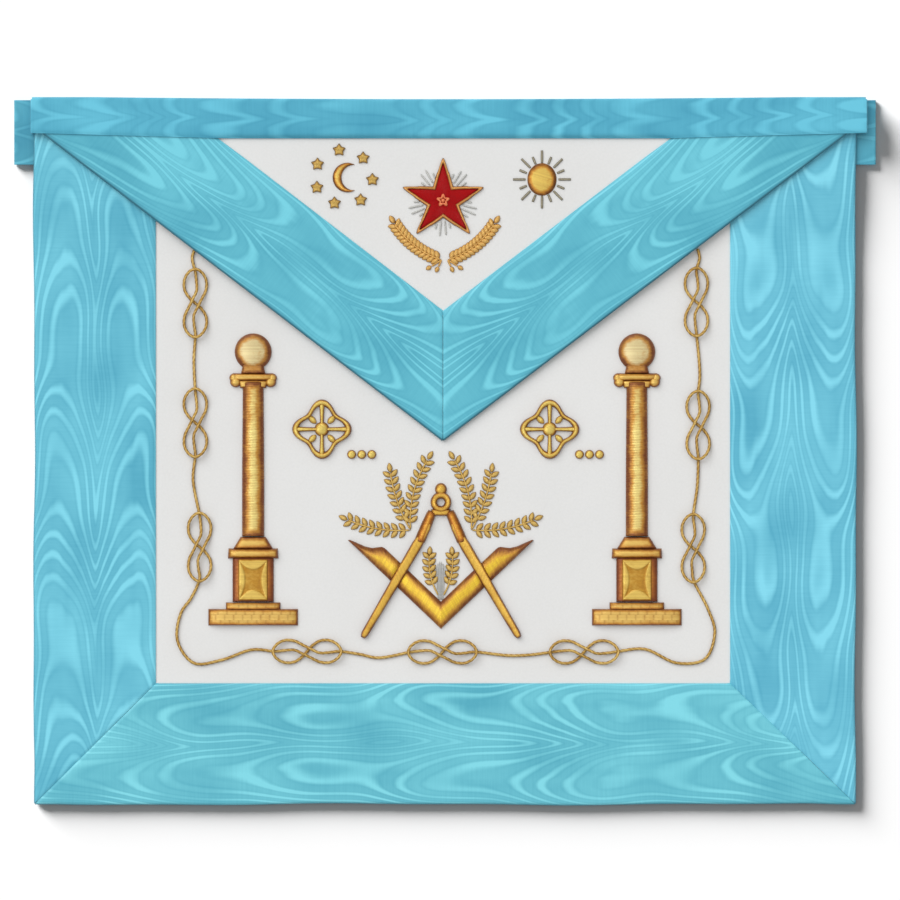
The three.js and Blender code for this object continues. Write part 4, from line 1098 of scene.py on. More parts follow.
class APRON_OT_waistband(bpy.types.Operator):
    """The ribbon over the top edge. Its section runs from a small hem under its lower edge,
    over its face and down its upper wall, and its two ends are folded down"""

    bl_idname = "apron.waistband"
    bl_label = "Waistband"

    def execute(self, context):
        level = BAND_HIGH[2] - RIBBON / 2
        floor = BAND_LOW[2] + 0.4
        radius, margin, face_length = 0.7, 0.35, 19
        left, right = BAND_LOW[0] + margin, BAND_HIGH[0] - margin
        x = (left + (right - left) * edge_shares(right - left, 2, 3.2))[:, None]
        taper = np.clip((np.abs(x) - 110) / 95, 0, 1)
        foot = FLAP_HINGE + 2.6 * taper
        face = np.concatenate([
            [0, 0.2, 0.45, 0.8, 1.3, 2],
            np.linspace(3, 16.4, 12),
            [17.6, 18.4, face_length],
        ])
        share = face[None, :] / face_length
        high = with_sag(x, TOP - radius - margin + 0 * x)
        y = foot + (high - foot) * share
        sink = 0.5 + 1.15 * smooth_step((112 - np.abs(x)) / 6)
        z = level - sink * np.exp(-((face / 1.2) ** 2)) + 0.12 * np.sin(math.pi * share)
        z = z + 0.05 * ripple(x, y, 26, 6.0)
        turn = np.linspace(0, math.pi / 2, 7)[None, 1:]
        corner_y = high + radius * np.sin(turn)
        corner_z = level - radius * (1 - np.cos(turn)) + 0 * x
        wall_z = np.linspace(level - radius, floor, 7)[None, 1:] + 0 * x
        wall_y = high + radius + 0 * wall_z
        y = np.concatenate([y, corner_y, wall_y], 1)
        z = np.concatenate([z, corner_z, wall_z], 1)
        x = x + 0 * y
        run = running_length(joined(y[40], z[40]))[None, :] - 10
        surfaces = [face_up(grid(joined(x, y, z), run, x))]
        turn = np.linspace(0, math.pi / 2, 7)[:, None]
        down = np.linspace(0, 1, 7)[1:, None]
        for side, row in ((-1, 0), (1, -1)):
            edge = y[row, : len(face)]
            start = x[row, 0]
            fold_x = start + side * margin * np.sin(turn) + 0 * edge
            fold_z = z[row, : len(face)] - 0.5 * (1 - np.cos(turn))
            down_z = fold_z[-1] + (floor - fold_z[-1]) * down
            fold_x = np.concatenate([fold_x, fold_x[-1] + 0 * down_z])
            fold_z = np.concatenate([fold_z, down_z])
            points = joined(fold_x, edge, fold_z)
            along = start + side * np.linspace(0, 6, 13)[:, None]
            surfaces.append(facing(grid(points, run[:, : len(face)], along), (side, 0, 0)))
        add_silk(
            "silk_waistband",
            surfaces,
            ("waistband", 11, 24, 0.5, 1.5, (0.63, 0.82, 0.88)),
            "waistband",
            (0.026, 0.416),
            ["silk_flap_border_left", "silk_flap_border_right"],
        )
        return {"FINISHED"}


class APRON_OT_belt(bpy.types.Operator):
    """The belt: one ribbon carried round a flat loop, from the clasp and back to it"""

    bl_idname = "apron.belt"
    bl_label = "Belt and Clasp"

    def execute(self, context):
        middle = (BELT_LOW[2] + BELT_HIGH[2]) / 2
        radius = middle - RIBBON / 2
        reach = BELT_HIGH[0] - RIBBON / 2 - radius
        start = CLASP_HIGH[0] - 1.5
        turn = np.linspace(-math.pi / 2, math.pi / 2, 13)
        right = np.array([reach, middle]) + polar(radius, turn)
        low = joined(np.linspace(start, reach, 50)[:-1], middle - radius)
        high = joined(np.linspace(reach, 0, 50)[1:], middle + radius)
        half = np.concatenate([low, right, high])
        section = np.concatenate([half, half[::-1][1:] * np.array([-1, 1])])
        run = running_length(section)[:, None]
        share = edge_shares(BELT_HIGH[1] - BELT_LOW[1], 1.2, 2.2)[None, :]
        y = BELT_LOW[1] + (BELT_HIGH[1] - BELT_LOW[1]) * share + 0 * run
        points = joined(section[:, :1], y, section[:, 1:])
        surface = grid(points, y - (BELT_LOW[1] + BELT_HIGH[1]) / 2, run)
        add_silk(
            "silk_belt",
            [flipped(surface)],
            ("belt", 16, 20, 0.9, 1.0, (0.54, 0.7, 0.74)),
            "belt",
            (0.0314, float(run[-1, 0]) * MM),
            ["floor"],
            slot="belt_silk",
        )
        material, tree, shader = start_material("brushed brass", 0.35, 0.9)
        coordinates = tree.nodes.new("ShaderNodeTexCoord")
        stretch = tree.nodes.new("ShaderNodeMapping")
        stretch.inputs["Scale"].default_value = (60, 2400, 300)
        tree.links.new(coordinates.outputs["Object"], stretch.inputs["Vector"])
        brushed = noise(tree, stretch.outputs[0], 1.0, 3.0)
        colour = mix_colour(tree, brushed, (0.5, 0.33, 0.11, 1), (0.36, 0.22, 0.07, 1))
        tree.links.new(colour, shader.inputs["Base Color"])
        rough = math_node(tree, "MULTIPLY_ADD", brushed, 0.25, 0.22)
        tree.links.new(rough, shader.inputs["Roughness"])
        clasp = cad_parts["belt_clasp"]
        clasp.data.materials.clear()
        clasp.data.materials.append(material)
        return {"FINISHED"}


# Rope: half a knot in shares of its length, its width and its height

HALF_KNOT = np.array([
    (-0.43, 0.0, 0.0),
    (-0.3, 0.05, 0.3),
    (-0.17, 0.06, 0.9),
    (-0.06, -0.1, 1.0),
    (0.06, -0.29, 0.6),
    (0.18, -0.47, 0.0),
    (0.32, -0.48, 0.4),
    (0.43, -0.27, 0.9),
    (0.47, 0.0, 1.0),
    (0.43, 0.27, 0.9),
    (0.32, 0.48, 0.4),
    (0.18, 0.47, 0.0),
    (0.07, 0.25, 0.0),
])
KNOT_SIZE = np.array([35.4, 11, 2])
DOWN, UP, LEVEL = -math.pi / 2, math.pi / 2, 0.0

# Places of the rope, as shares of the opening's half width and of its height, and the
# heading of the knot there, if there is one.
ROPE_ROUTE = [
    (-0.87, 0.746, None),
    (-0.88, 0.73, None),
    (-0.869, 0.652, DOWN),
    (-0.874, 0.555, None),
    (-0.869, 0.447, DOWN),
    (-0.877, 0.35, None),
    (-0.854, 0.234, DOWN),
    (-0.883, 0.147, None),
    (-0.919, 0.121, None),
    (-0.931, 0.073, None),
    (-0.874, 0.035, None),
    (-0.779, 0.04, None),
    (-0.67, 0.058, None),
    (-0.48, 0.055, LEVEL),
    (-0.296, 0.05, None),
    (-0.233, 0.044, None),
    (-0.009, 0.054, LEVEL),
    (0.219, 0.048, None),
    (0.296, 0.049, None),
    (0.484, 0.054, LEVEL),
    (0.694, 0.059, None),
    (0.808, 0.035, None),
    (0.905, 0.042, None),
    (0.939, 0.088, None),
    (0.915, 0.128, None),
    (0.864, 0.232, UP),
    (0.878, 0.338, None),
    (0.881, 0.443, UP),
    (0.887, 0.528, None),
    (0.875, 0.654, UP),
    (0.886, 0.73, None),
    (0.879, 0.746, None),
]


class APRON_OT_rope(bpy.types.Operator):
    """The couched rope with its nine love knots: strands twisted round a smooth line"""

    bl_idname = "apron.rope"
    bl_label = "Knotted Rope"

    def execute(self, context):
        gold = context.scene.apron_gold
        radius = gold.rope_diameter / MM / 2
        back = HALF_KNOT[::-1] * np.array([-1, -1, 1])
        knot = np.concatenate([HALF_KNOT, [[0, 0, 0]], back]) * KNOT_SIZE
        points = []
        for across, up, turn in ROPE_ROUTE:
            place = np.array([[across * OPENING_HALF, OPENING_FOOT + up * OPENING_HEIGHT, 0]])
            if turn is not None:
                cos, sin = math.cos(turn), math.sin(turn)
                place = place + knot @ np.array([[cos, sin, 0], [-sin, cos, 0], [0, 0, 1]])
            points.append(place)
        points = np.concatenate(points)
        points[:, 2] += STITCH_LEVEL + radius + rise_at(points[:, 1])
        line = even_line(smooth_line(points, 10), 0.6)
        grids = tube(line, radius, 12, gold.strands, 1 / 2.6, 0.3)
        add_piece("couched_rope", grids, thread_material("couched rope"), ["rope"])
        return {"FINISHED"}


# Pillars

# Blocks of a pillar: foot, top, width at the foot and at the top, height of the pad, band
# of its painted rim shade and radius of its ends.
PILLAR_BLOCKS = {
    "plinth": (0, 8, 43.7, 43.7, 2.7, 1.5, 0.6),
    "step": (7.6, 11.2, 26.6, 26.6, 2.4, 1.2, 0.6),
    "die": (11.5, 33, 20.1, 20.1, 2.3, 3.4, 0.6),
    "collar": (32.6, 37.5, 24.6, 24.0, 3.4, 1.9, 1.6),
    "flare": (37.2, 43.2, 19.6, 12.2, 2.9, 2.4, 1.0),
    "bell": (115.6, 119.6, 12.4, 15.4, 2.2, 1.2, 1.2),
    "bar": (119.1, 122.9, 19.5, 19.5, 3.0, 1.5, 1.4),
    "neck": (122.7, 128, 12.0, 9.6, 2.6, 3.6, 0.6),
}
SHAFT_FOOT = 43.4
SHAFT_LENGTH = 75.4
SHAFT_HALF = 5.4
SHAFT_TAPER = 0.3

# Domes of a pillar: the middle across and up, the radius across and up, the height and the
# band of the painted rim shade.
VOLUTES = [(8.5, 118.6, 2.8, 2.6, 3.1, 1.4), (9.4, 120.6, 2.2, 2.2, 2.8, 1.2)]
GLOBE = (0, 133.3, 9, 9, 4.3, 3.8)


def pillar_pieces():
    """The seven pieces of a pillar about its own foot: name, thread and grids of each."""
    block = {name: slab(*sizes) for name, sizes in PILLAR_BLOCKS.items()}
    share = edge_shares(SHAFT_LENGTH, 1.2, 1.0)
    y = SHAFT_FOOT + SHAFT_LENGTH * share
    sides = upright_sides(y, SHAFT_HALF - SHAFT_TAPER * smooth_step((share - 0.3) / 0.7))
    shaft = pad(*sides, 0, 3.4, roundness=2.2, columns=20, band=4.5, ends=0.5)
    capital = block["bar"] + block["bell"]
    for side in (-1, 1):
        for across, *sizes in VOLUTES:
            capital += dome(side * across, *sizes)
    ball = dome(*GLOBE, rings=16, sides=48)
    return [
        ("plinth", "courses", block["plinth"] + block["step"]),
        ("pedestal", "blocks", block["collar"] + block["flare"]),
        ("die", "frames", block["die"]),
        ("shaft", "shaft", shaft),
        ("capital", "blocks", capital),
        ("globe", "globes", ball + block["neck"]),
        ("panel", "panels", die_panel()),
    ]


def die_panel():
    """The pedestal's raised panel: bevels round a sunken field with four points. Painted
    shade darkens the sunken field and the outer edge, so the bevels stay pale. The field's
    sides are arcs, which start half way out and reach the panel's corners."""
    x, y = np.meshgrid(np.linspace(-1, 1, 41), np.linspace(-1, 1, 61))
    room = np.minimum(0.5 + 0.5 * x**2 - np.abs(y), 0.55 + 0.45 * y**2 - np.abs(x))
    inside = smooth_step(room * 14 + 0.5)
    edge = np.maximum(np.abs(x), np.abs(y))
    wall = np.sqrt(np.clip(1 - edge**14, 0, 1))
    z = 2.1 + wall * (1.2 - 0.6 * inside)
    # Painted shade in the sunken field and at the panel's outer edge.
    rim = np.clip(0.5 * inside + smooth_step((edge - 0.88) / 0.12) * 0.7, 0, 1)
    plan = joined(7.2 * x, 22.2 + 10.1 * y)
    return cushion(plan, z, 2.1, 7.2 * x, 10.1 * y, rim)


class APRON_OT_pillars(bpy.types.Operator):
    """The two pillars: padded blocks, a half round shaft and a ball, in laid gold thread"""

    bl_idname = "apron.pillars"
    bl_label = "Pillars"

    def execute(self, context):
        for name in ("left", "right"):
            low, high = node_corners(f"pillar_{name}_plinth")
            place = ((low[0] + high[0]) / 2, low[1], STITCH_LEVEL)
            for part, thread, grids in pillar_pieces():
                node = "pedestal" if part in ("die", "panel") else part
                add_pad(
                    f"gold_pillar_{name}_{part}",
                    moved(grids, place),
                    f"gold thread, {thread}",
                    f"pillar_{name}_{node}",
                )
        return {"FINISHED"}


# Square and compasses

SQUARE_FOOT = OPENING_FOOT + 26.6
COMPASS_HEAD = SQUARE_FOOT + 61.7
EMBLEM_PLACE = (-2.0, 0, STITCH_LEVEL)
SQUARE_REACH = 45.2
SQUARE_RISE = 43.1
ARM_START = np.array([5.3, COMPASS_HEAD - 10.0])
ARM_END = np.array([38.2, COMPASS_HEAD - 66.0])
ARM_LENGTH = np.linalg.norm(ARM_END - ARM_START)
ARM_AHEAD = (ARM_END - ARM_START) / ARM_LENGTH
THIGH_LEAN = 0.4
THIGH_LENGTH = 16.6


def from_arm(points):
    """The distance of each point from the middle line of the nearer compass arm."""
    away = joined(np.abs(points[..., 0]), points[..., 1]) - ARM_START
    return np.abs(away[..., 0] * ARM_AHEAD[1] - away[..., 1] * ARM_AHEAD[0])


class APRON_OT_square(bpy.types.Operator):
    """The square: two padded arms with an ogee end, which dip under the compasses"""

    bl_idname = "apron.square"
    bl_label = "Square"

    def execute(self, context):
        inner_x = [0, 14, 27.2, 28.6, 30.5, 33.5, 37, 41, 44.4, SQUARE_REACH]
        inner_y = [13.3, 26.7, 39.2, 40.0, 39.8, 39.4, 40.2, 42.0, 43.4, 43.2]
        share = edge_shares(SQUARE_REACH, 1.5, 0.8)
        x = SQUARE_REACH * share
        inner = joined(x, SQUARE_FOOT + np.interp(x, inner_x, inner_y))
        outer = joined(x, SQUARE_FOOT + SQUARE_RISE * share)
        share = shares(19)
        place = 2 * share - 1
        crown = np.sqrt(np.clip(1 - np.abs(place + 0.12 * (1 - place**2)) ** 2.2, 0, 1))
        plan = outer[:, None] * (1 - share)[:, None] + inner[:, None] * share[:, None]
        tip = np.sqrt(np.clip((SQUARE_REACH - x) / 4, 0, 1))[:, None]
        dent = 1 - 0.54 * (1 - smooth_step((from_arm(plan) - 2.1) / 1.4))
        z = 2.6 * crown * tip * dent
        width = np.linalg.norm(inner - outer, axis=-1)[:, None]
        rim = rim_shade_from(np.minimum(share, 1 - share) * width * 0.72, 3.7)
        grids = []
        for side in (-1, 1):
            mirrored = plan * np.array([side, 1])
            grids += cushion(mirrored, z, 0, place * width / 2, x[:, None] * 1.38, rim)
        add_pad("gold_square", moved(grids, EMBLEM_PLACE), "gold thread, padded", "square")
        return {"FINISHED"}


class APRON_OT_compasses(bpy.types.Operator):
    """The compasses: a ring, a knob and a yoke at the head, and legs over the square"""

    bl_idname = "apron.compasses"
    bl_label = "Compasses"

    def execute(self, context):
        ring = polar(1, full_turn(48))
        middle = np.array([0, COMPASS_HEAD])
        head = pad(
            middle + 5.1 * ring, middle + 1.8 * ring, 0, 2.6, 3, columns=10, band=1.5, loop=True
        )
        head += dome(0, COMPASS_HEAD + 6.3, 2.9, 3.1, 2.7, 1.7)
        head += slab(COMPASS_HEAD - 6.6, COMPASS_HEAD - 3.4, 7.6, 9.8, 2.2, 1.2, 1.0)
        head = moved(head, EMBLEM_PLACE)
        add_pad("gold_compasses_head", head, "gold thread, flat", "compasses_head")
        across = np.array([-ARM_AHEAD[1], ARM_AHEAD[0]])
        share = edge_shares(ARM_LENGTH, 1.5, 0.8)
        line = ARM_START + ARM_AHEAD * (share * ARM_LENGTH)[:, None]
        half = np.interp(share, [0, 0.04, 0.2, 0.45, 0.97, 1], [0.9, 1.9, 2.6, 2.4, 1.8, 1.0])
        beside = across * half[:, None]
        over_square = line[:, 1] - SQUARE_FOOT - SQUARE_RISE / SQUARE_REACH * line[:, 0]
        window = smooth_step((over_square + 2.5) / 2.5) * smooth_step((15.8 - over_square) / 2.5)
        base = 1.35 * window
        arm = pad(line - beside, line + beside, base, 2.8 - base, roundness=4, band=1.2)
        lean = np.array([math.sin(THIGH_LEAN), -math.cos(THIGH_LEAN)])
        start = np.array([4.2, COMPASS_HEAD - 4.4])
        share = edge_shares(THIGH_LENGTH, 2.0, 0.6)
        line = start + lean * (share * THIGH_LENGTH)[:, None]
        half = np.interp(share, [0, 0.1, 0.5, 0.93, 1], [1.9, 2.3, 2.6, 2.6, 1.8])
        beside = np.array([lean[1], -lean[0]]) * half[:, None]
        thigh = pad(line - beside, line + beside, 0, 3.1, columns=14, band=2.6, ends=0.6)
        parts = (("leg", arm, "flat", 0.8), ("thigh", thigh, "dark", 0.9))
        for side, name in ((-1, "left"), (1, "right")):
            for part, grids, thread, fill in parts:
                add_pad(
                    f"gold_compasses_{part}_{name}",
                    moved(grids, EMBLEM_PLACE, side),
                    f"gold thread, {thread}",
                    f"compasses_leg_{name}",
                )
        return {"FINISHED"}


# Branches


def twig(start, end, bow, pairs, first, length=4.4, width=2.8, mirror=1):
    """A bowed stem, which is a curve of the second degree, with pairs of leaves and one at
    its end. Returns the stem's grids and those of its leaves."""
    start, end = np.array(start), np.array(end)
    run = end - start
    middle = (start + end) / 2 + bow * np.array([-run[1], run[0]])

    def at(share):
        share = np.asarray(share, float)[:, None]
        return start * (1 - share) ** 2 + 2 * middle * share * (1 - share) + end * share**2

    def heading(share):
        share = np.asarray(share, float)[:, None]
        ahead = 2 * (middle - start) * (1 - share) + 2 * (end - middle) * share
        return np.arctan2(ahead[:, 1], ahead[:, 0])

    line = joined(*at(np.linspace(0, 1, 28)).T, 0.45)
    where = np.linspace(first, 0.93, pairs)
    foot, turn = at(where), heading(where)
    places = [joined(*foot.T, turn + side * math.pi / 3.6) for side in (-1, 1)]
    places.append(joined(*at([1.0]).T, heading([1.0])))
    grids = tube(line, 0.42) + leaves(np.concatenate(places), length, width, 1.25)
    return moved(grids, scale_x=mirror)


# Twigs of an outer branch: the end of each as a share of the branches' half span, its bow,
# its pairs of leaves and the place of the first one.
BRANCH_SPAN = 45.5
BRANCH_TWIGS = [
    (1.0, -0.187, -0.13, 8, 0.08),
    (0.541, 0.319, -0.1, 7, 0.2),
    (0.141, 0.459, -0.16, 9, 0.1),
]


class APRON_OT_branches(bpy.types.Operator):
    """The leafy branches: three twigs on each side and two inside the square"""

    bl_idname = "apron.branches"
    bl_label = "Branches"

    def execute(self, context):
        start = (0.325 * BRANCH_SPAN, COMPASS_HEAD - 13.5)
        thread, slot = "gold thread, leaves", "pale_gold_thread"
        for side, name in ((-1, "left"), (1, "right")):
            grids = []
            for end_x, end_y, bow, pairs, first in BRANCH_TWIGS:
                end = (end_x * BRANCH_SPAN, COMPASS_HEAD + end_y * BRANCH_SPAN)
                grids += twig(start, end, bow, pairs, first, 4.8, mirror=side)
            grids = moved(grids, EMBLEM_PLACE)
            add_pad(f"gold_branch_{name}", grids, thread, f"branch_{name}")
        foot = SQUARE_FOOT + 16.3
        grids = []
        for side in (-1, 1):
            grids += twig((1.2, foot), (5.6, foot + 19.6), -0.16, 5, 0.3, mirror=side)
        grids = moved(grids, EMBLEM_PLACE)
        add_pad("gold_branch_inner", grids, thread, "branch_inner")
        lines = []
        for x in (-2.2, -1.3, -0.4, 0.5, 1.4, 2.3):
            y = np.linspace(foot - 2.2, foot + 17 - abs(x), 30)
            bend = x * (0.55 + 0.45 * (y - foot + 2.2) / 19) - 0.3
            lines += tube(joined(bend, y, 0.22), 0.24)
        lines = moved(lines, EMBLEM_PLACE)
        add_piece("silver_stems", lines, thread_material("silver thread"), [])
        return {"FINISHED"}


# Ornaments beside the square


def lobed(radius, lobes, depth, turn):
    """An outline whose radius swells as a cosine in a number of lobes, from the top."""
    reach = radius * (1 - depth + depth * np.cos(lobes * turn))
    return joined(-reach * np.sin(turn), reach * np.cos(turn))


class APRON_OT_ornaments(bpy.types.Operator):
    """A four-lobed ring of padded cord with crossed bars and a boss, and a row of beads"""

    bl_idname = "apron.ornaments"
    bl_label = "Ornaments"

    def execute(self, context):
        turn = full_turn(120)
        outer, inner = lobed(14.5, 4, 0.14, turn), lobed(11.3, 4, 0.14, turn)
        rosette = pad(outer, inner, 0, 2.4, band=1.3, loop=True)
        reach = 12.6
        y = -reach + 2 * reach * edge_shares(2 * reach, 1.0, 0.8)
        left, right = upright_sides(y, 0.95 + 0.5 * (np.abs(y) / reach) ** 3)
        for turned in (np.eye(2), np.array([[0, 1], [-1, 0]])):
            rosette += pad(left @ turned, right @ turned, 0, 1.9, columns=10, band=0.8, ends=0.8)
        rosette += dome(0, 0, 3.6, 3.6, 2.9, 1.6, rings=10, sides=32)
        turn = math.pi / 4 + np.arange(4) * math.pi / 2
        rosette += leaves(joined(*polar(3.9, turn).T, turn), 5.6, 3.2, 1.8)
        beads = []
        for number in (-1, 0, 1):
            beads += dome(number * 4.9, 0, 2.2, 2.2, 2.2, 1.0)
        for name in ("left", "right"):
            for kind, grids in (("ornament", rosette), ("beads", beads)):
                low, high = node_corners(f"{kind}_{name}")
                place = (*((low + high) / 2)[:2], STITCH_LEVEL)
                add_pad(
                    f"gold_{kind}_{name}",
                    moved(grids, place),
                    "gold thread, ornaments",
                    f"{kind}_{name}",
                )
        return {"FINISHED"}


# Embroidery of the flap: the places of its motifs across and below the top edge

STAR_PLACE = (-0.9, 50.3)
MOON_PLACE = (-47.5, 39.1)
SUN_PLACE = (47.2, 40)
WREATH_PLACE = (-0.2, 79.2)


def star_outline(radius, notch, count, blunt=0.0):
    """A five-pointed star: straight edges between its points and notches, from the top.
    The number of places is a multiple of ten, and the points may be blunted."""
    turn = full_turn(count)
    corner = np.arange(11) * math.pi / 5
    reach = np.where(np.arange(11) % 2 == 0, radius, radius * notch)
    x = np.interp(turn, corner, -reach * np.sin(corner))
    y = np.interp(turn, corner, reach * np.cos(corner))
    low = smooth_step(-y / radius * 2 - 0.4)
    outline = joined(x * (1 + 0.06 * low), y * (1 - 0.04 * low))
    length = np.linalg.norm(outline, axis=-1, keepdims=True)
    shorter = radius - np.sqrt((radius - length) ** 2 + blunt**2)
    return outline * np.minimum(1, shorter / length + (length < 0.6 * radius))


def star_pad(radius, notch, height, rings, band, blunt, count):
    """A star with a ridge to each point: its height falls off with the share of the way
    from its middle to its outline."""
    share = np.linspace(0, 1, rings + 1)[:, None]
    plan = star_outline(radius, notch, count, blunt)[None] * share[..., None]
    z = height * np.sqrt(np.clip(1 - share**3, 0, 1))
    rim = rim_shade_from((1 - share) * radius * 0.55, band)
    along = np.linalg.norm(plan, axis=-1)
    turn = np.arctan2(plan[..., 1], plan[..., 0])
    return cushion(plan, z, 0, turn * radius / 2, along, rim)


class APRON_OT_star(bpy.types.Operator):
    """The red star with its gold rim, a small rosette, and silver rays in its notches"""

    bl_idname = "apron.star"
    bl_label = "Star"

    def execute(self, context):
        field = on_flap(star_pad(19.6, 0.385, 0.95, 14, 1.4, 1.2, 120), *STAR_PLACE)
        add_pad("red_star_field", field, "red satin", "star_field")
        outer, inner = star_outline(23.7, 0.36, 200, 3.0), star_outline(19.9, 0.31, 200, 2.2)
        rim = pad(outer, inner, 0, 1.35, columns=10, loop=True)
        rim = on_flap(rim, *STAR_PLACE)
        add_pad("gold_star_rim", rim, "gold thread, star rim", "star_rim")
        outline = lobed(3.5, 5, 0.2, full_turn(60))
        petals = pad(outline, 0.34 * outline, 0.75, 0.75, columns=8, band=0.5, loop=True)
        petals += dome(0, 0, 1.1, 1.1, 0.95, 0.5, rings=6, sides=20, base=0.75)
        petals = on_flap(petals, *STAR_PLACE)
        add_pad("gold_star_rosette", petals, "gold thread, rosette", "star_rosette")
        rays = []
        for notch in range(5):
            middle = math.pi / 2 + math.pi / 5 + notch * 2 * math.pi / 5
            for spread, start, reach in (
                (-0.27, 11.4, 14.5),
                (-0.1, 9.6, 17.5),
                (0.08, 9.6, 17.0),
                (0.25, 11.4, 14.0),
            ):
                ray = polar(np.linspace(start, reach, 10), middle + spread)
                rays += tube(joined(*ray.T, 0.3), 0.4)
        rays = on_flap(rays, *STAR_PLACE)
        add_piece("silver_star_rays", rays, thread_material("silver thread"), [])
        return {"FINISHED"}


# Small stars, as shares of their distance from the moon across and up
STAR_RING = 15
SMALL_STARS = [
    (-0.27, 0.89),
    (0.51, 0.63),
    (0.81, -0.07),
    (0.43, -0.73),
    (-0.42, -0.83),
    (-0.99, -0.32),
    (-0.97, 0.43),
]


class APRON_OT_night(bpy.types.Operator):
    """The crescent moon, padded between two arcs, and the seven small stars round it"""

    bl_idname = "apron.night"
    bl_label = "Moon and Small Stars"

    def execute(self, context):
        radius, hollow, shift = 7.2, 6.19, 3.31
        meet = math.acos((radius**2 - hollow**2 + shift**2) / (2 * radius * shift))
        inner_meet = math.acos((radius**2 - hollow**2 - shift**2) / (2 * hollow * shift))
        share = shares(61)
        outer = polar(radius, meet + (2 * math.pi - 2 * meet) * share)
        inner = polar(hollow, inner_meet + (2 * math.pi - 2 * inner_meet) * share)
        inner = inner + np.array([shift, 0])
        width = np.linalg.norm(outer - inner, axis=-1)
        height = 1.5 * np.sqrt(np.clip(width / width.max(), 0, 1))
        moon = pad(outer, inner, 0, height, columns=14, band=1.7)
        add_pad("gold_moon", on_flap(moon, *MOON_PLACE), "gold thread, moon", "moon")
        for number, (x, y) in enumerate(SMALL_STARS, 1):
            star = star_pad(3.8, 0.58, 1.4, 8, 1.1, 0.5, 60)
            star = on_flap(moved(star, (STAR_RING * x, STAR_RING * y, 0)), *MOON_PLACE)
            name = f"small_star_{number}"
            add_pad(f"gold_{name}", star, "gold thread, small stars", name)
        return {"FINISHED"}


class APRON_OT_sun(bpy.types.Operator):
    """The sun: a padded disc in a ring of long and short rays"""

    bl_idname = "apron.sun"
    bl_label = "Sun"

    def execute(self, context):
        disc = dome(0, 0, 7.1, 7.9, 1.9, 2.7, rings=16, sides=56)
        add_pad("gold_sun_disc", on_flap(disc, *SUN_PLACE), "gold thread, moon", "sun_disc")
        start = 8.0
        rays = []
        for number in range(16):
            turn = 2 * math.pi * number / 16
            reach = 14.1 if number % 2 == 0 else 11.8
            along = start + (reach - start) * edge_shares(reach - start, 0.5, 0.6)
            half = np.interp(along, [start, 10, reach], [0.5, 0.62, 0.55])
            line, beside = polar(along, turn), polar(half, turn + math.pi / 2)
            rays += pad(line - beside, line + beside, 0, 0.75, columns=6, band=0.4, ends=0.5)
        rays = on_flap(rays, *SUN_PLACE)
        add_pad(
            "gold_sun_rays", rays, "gold thread, sun rays", "sun_rays"
        )
        return {"FINISHED"}


class APRON_OT_wreath(bpy.types.Operator):
    """The wreath under the star: two bowed twigs with close leaves and short stem ends"""

    bl_idname = "apron.wreath"
    bl_label = "Wreath"

    def execute(self, context):
        foot = 1.45
        grids = twig((foot, 0), (24.4, 17.8), -0.18, 13, 0.05, 4.5, 3.0)
        for turn, length in ((-1.12, 3.6), (-0.55, 5.8)):
            line = polar(np.linspace(0, length, 12), turn) + np.array([foot, 0])
            grids += tube(joined(*line.T, 0.4), 0.42)
            grids += leaves([(*line[-1], turn)], 3.2, 2.4, 1.2)
        for side, name in ((-1, "left"), (1, "right")):
            wreath = on_flap(moved(grids, scale_x=side), *WREATH_PLACE)
            add_pad(f"gold_wreath_{name}", wreath, "gold thread, wreath", f"wreath_{name}")
        return {"FINISHED"}


# Stage


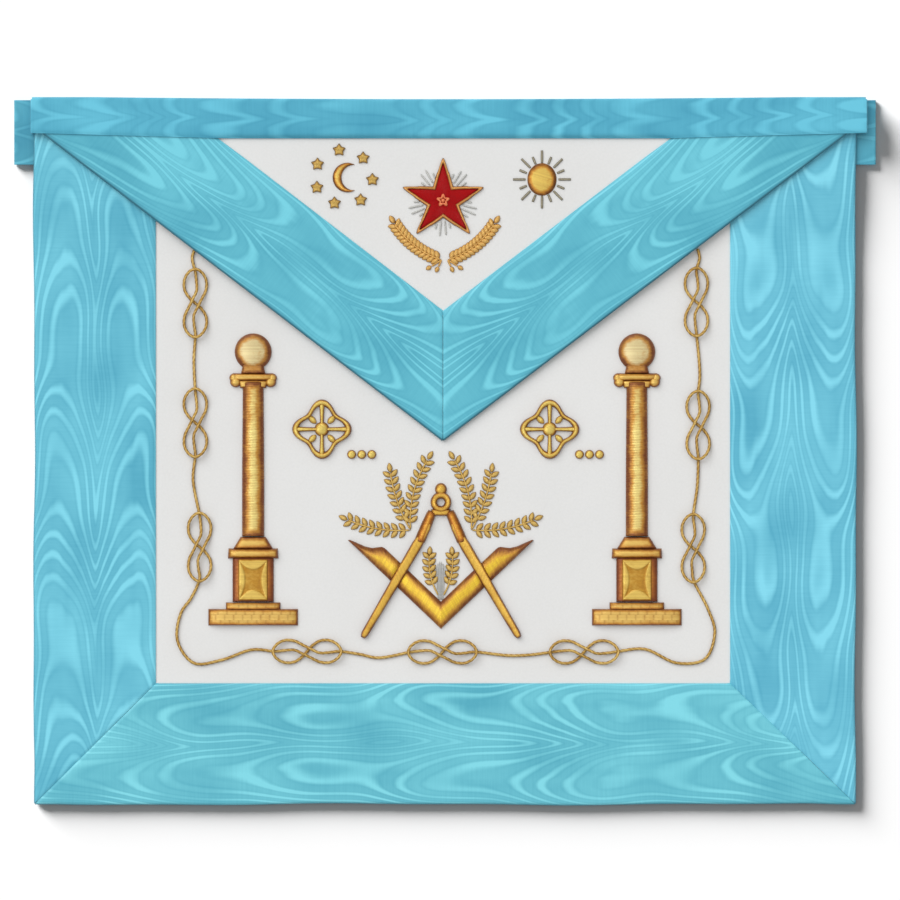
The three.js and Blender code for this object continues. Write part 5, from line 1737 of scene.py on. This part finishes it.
class APRON_OT_stage(bpy.types.Operator):
    """A plain white floor, soft light from the upper left and a camera straight above"""

    bl_idname = "apron.stage"
    bl_label = "Stage"

    def execute(self, context):
        scene = context.scene
        stage = scene.apron_stage
        side = np.linspace(-2500, 2500, 3)
        x, y = np.meshgrid(side, side)
        mesh = mesh_from_grids("floor", [grid(joined(x, y, 0), x, y)], False)
        floor = bpy.data.objects.new("floor", mesh)
        scene.collection.objects.link(floor)
        material, tree, shader = start_material("plain floor", 0.9)
        coordinates = tree.nodes.new("ShaderNodeTexCoord")
        cloud = noise(tree, coordinates.outputs["Object"], 3.0, 1.0)
        colour = mix_colour(tree, cloud, (0.95, 0.95, 0.95, 1), (0.94, 0.94, 0.94, 1))
        tree.links.new(colour, shader.inputs["Base Color"])
        shader.inputs["Specular IOR Level"].default_value = 0.1
        mesh.materials.append(material)

        world = bpy.data.worlds.new("surround")
        world.use_nodes = True
        background = world.node_tree.nodes["Background"]
        background.inputs["Color"].default_value = (1, 1, 1, 1)
        background.inputs["Strength"].default_value = stage.surround
        scene.world = world

        reach = bpy.data.collections.new("floor only")
        reach.objects.link(floor)
        rest = bpy.data.collections.new("all but the floor")
        rest.objects.link(floor)
        rest.collection_objects[0].light_linking.link_state = "EXCLUDE"
        # Each lamp's name, strength, size and two turns in degrees, and what it lights
        for name, strength, size, turn_x, turn_y, receivers in (
            ("floor_key", stage.floor_key, 30, -42.8, -67.8, reach),
            ("key", stage.key, 50, -32, -32, rest),
            ("fill", stage.fill, 150, 0, 0, rest),
        ):
            lamp = bpy.data.lights.new(name, "SUN")
            lamp.energy = strength
            lamp.angle = math.radians(size)
            lamp_object = bpy.data.objects.new(name, lamp)
            scene.collection.objects.link(lamp_object)
            lamp_object.rotation_euler = (math.radians(turn_x), math.radians(turn_y), 0)
            lamp_object.light_linking.receiver_collection = receivers

        camera = bpy.data.cameras.new("camera")
        camera.lens = stage.lens
        camera.sensor_width = 36
        camera_object = bpy.data.objects.new("camera", camera)
        scene.collection.objects.link(camera_object)
        distance = stage.view_width * stage.lens / camera.sensor_width
        camera_object.location = (0.00244, 0.00037, 0.004 + distance)
        camera.clip_start, camera.clip_end = 0.05, 20
        scene.camera = camera_object
        scene.view_settings.view_transform = "Standard"
        return {"FINISHED"}


# The add-on


class APRON_PT_sidebar(bpy.types.Panel):
    """Lists the pieces of the apron and their settings"""

    bl_idname = "APRON_PT_sidebar"
    bl_label = "Apron"
    bl_space_type = "VIEW_3D"
    bl_region_type = "UI"
    bl_category = "Apron"

    def draw(self, context):
        layout = self.layout
        for operator in OPERATORS:
            layout.operator(operator.bl_idname)
        for name in SETTINGS:
            box = layout.box()
            group = getattr(context.scene, name)
            for setting in group.__annotations__:
                box.prop(group, setting)


SETTINGS = {
    "apron_silk": ApronSilk,
    "apron_leather": ApronLeather,
    "apron_gold": ApronGold,
    "apron_stage": ApronStage,
}
OPERATORS = [
    APRON_OT_stage,
    APRON_OT_belt,
    APRON_OT_leather,
    APRON_OT_borders,
    APRON_OT_flap_borders,
    APRON_OT_waistband,
    APRON_OT_rope,
    APRON_OT_pillars,
    APRON_OT_square,
    APRON_OT_compasses,
    APRON_OT_branches,
    APRON_OT_ornaments,
    APRON_OT_star,
    APRON_OT_night,
    APRON_OT_sun,
    APRON_OT_wreath,
]


def register():
    for group in SETTINGS.values():
        bpy.utils.register_class(group)
    for name, group in SETTINGS.items():
        setattr(bpy.types.Scene, name, PointerProperty(type=group))
    for operator in OPERATORS:
        bpy.utils.register_class(operator)
    bpy.utils.register_class(APRON_PT_sidebar)


def unregister():
    bpy.utils.unregister_class(APRON_PT_sidebar)
    for operator in reversed(OPERATORS):
        bpy.utils.unregister_class(operator)
    for name, group in SETTINGS.items():
        delattr(bpy.types.Scene, name)
        bpy.utils.unregister_class(group)


def main():
    register()
    for operator in OPERATORS:
        family, name = operator.bl_idname.split(".")
        getattr(getattr(bpy.ops, family), name)()


if __name__ == "__main__":
    main()
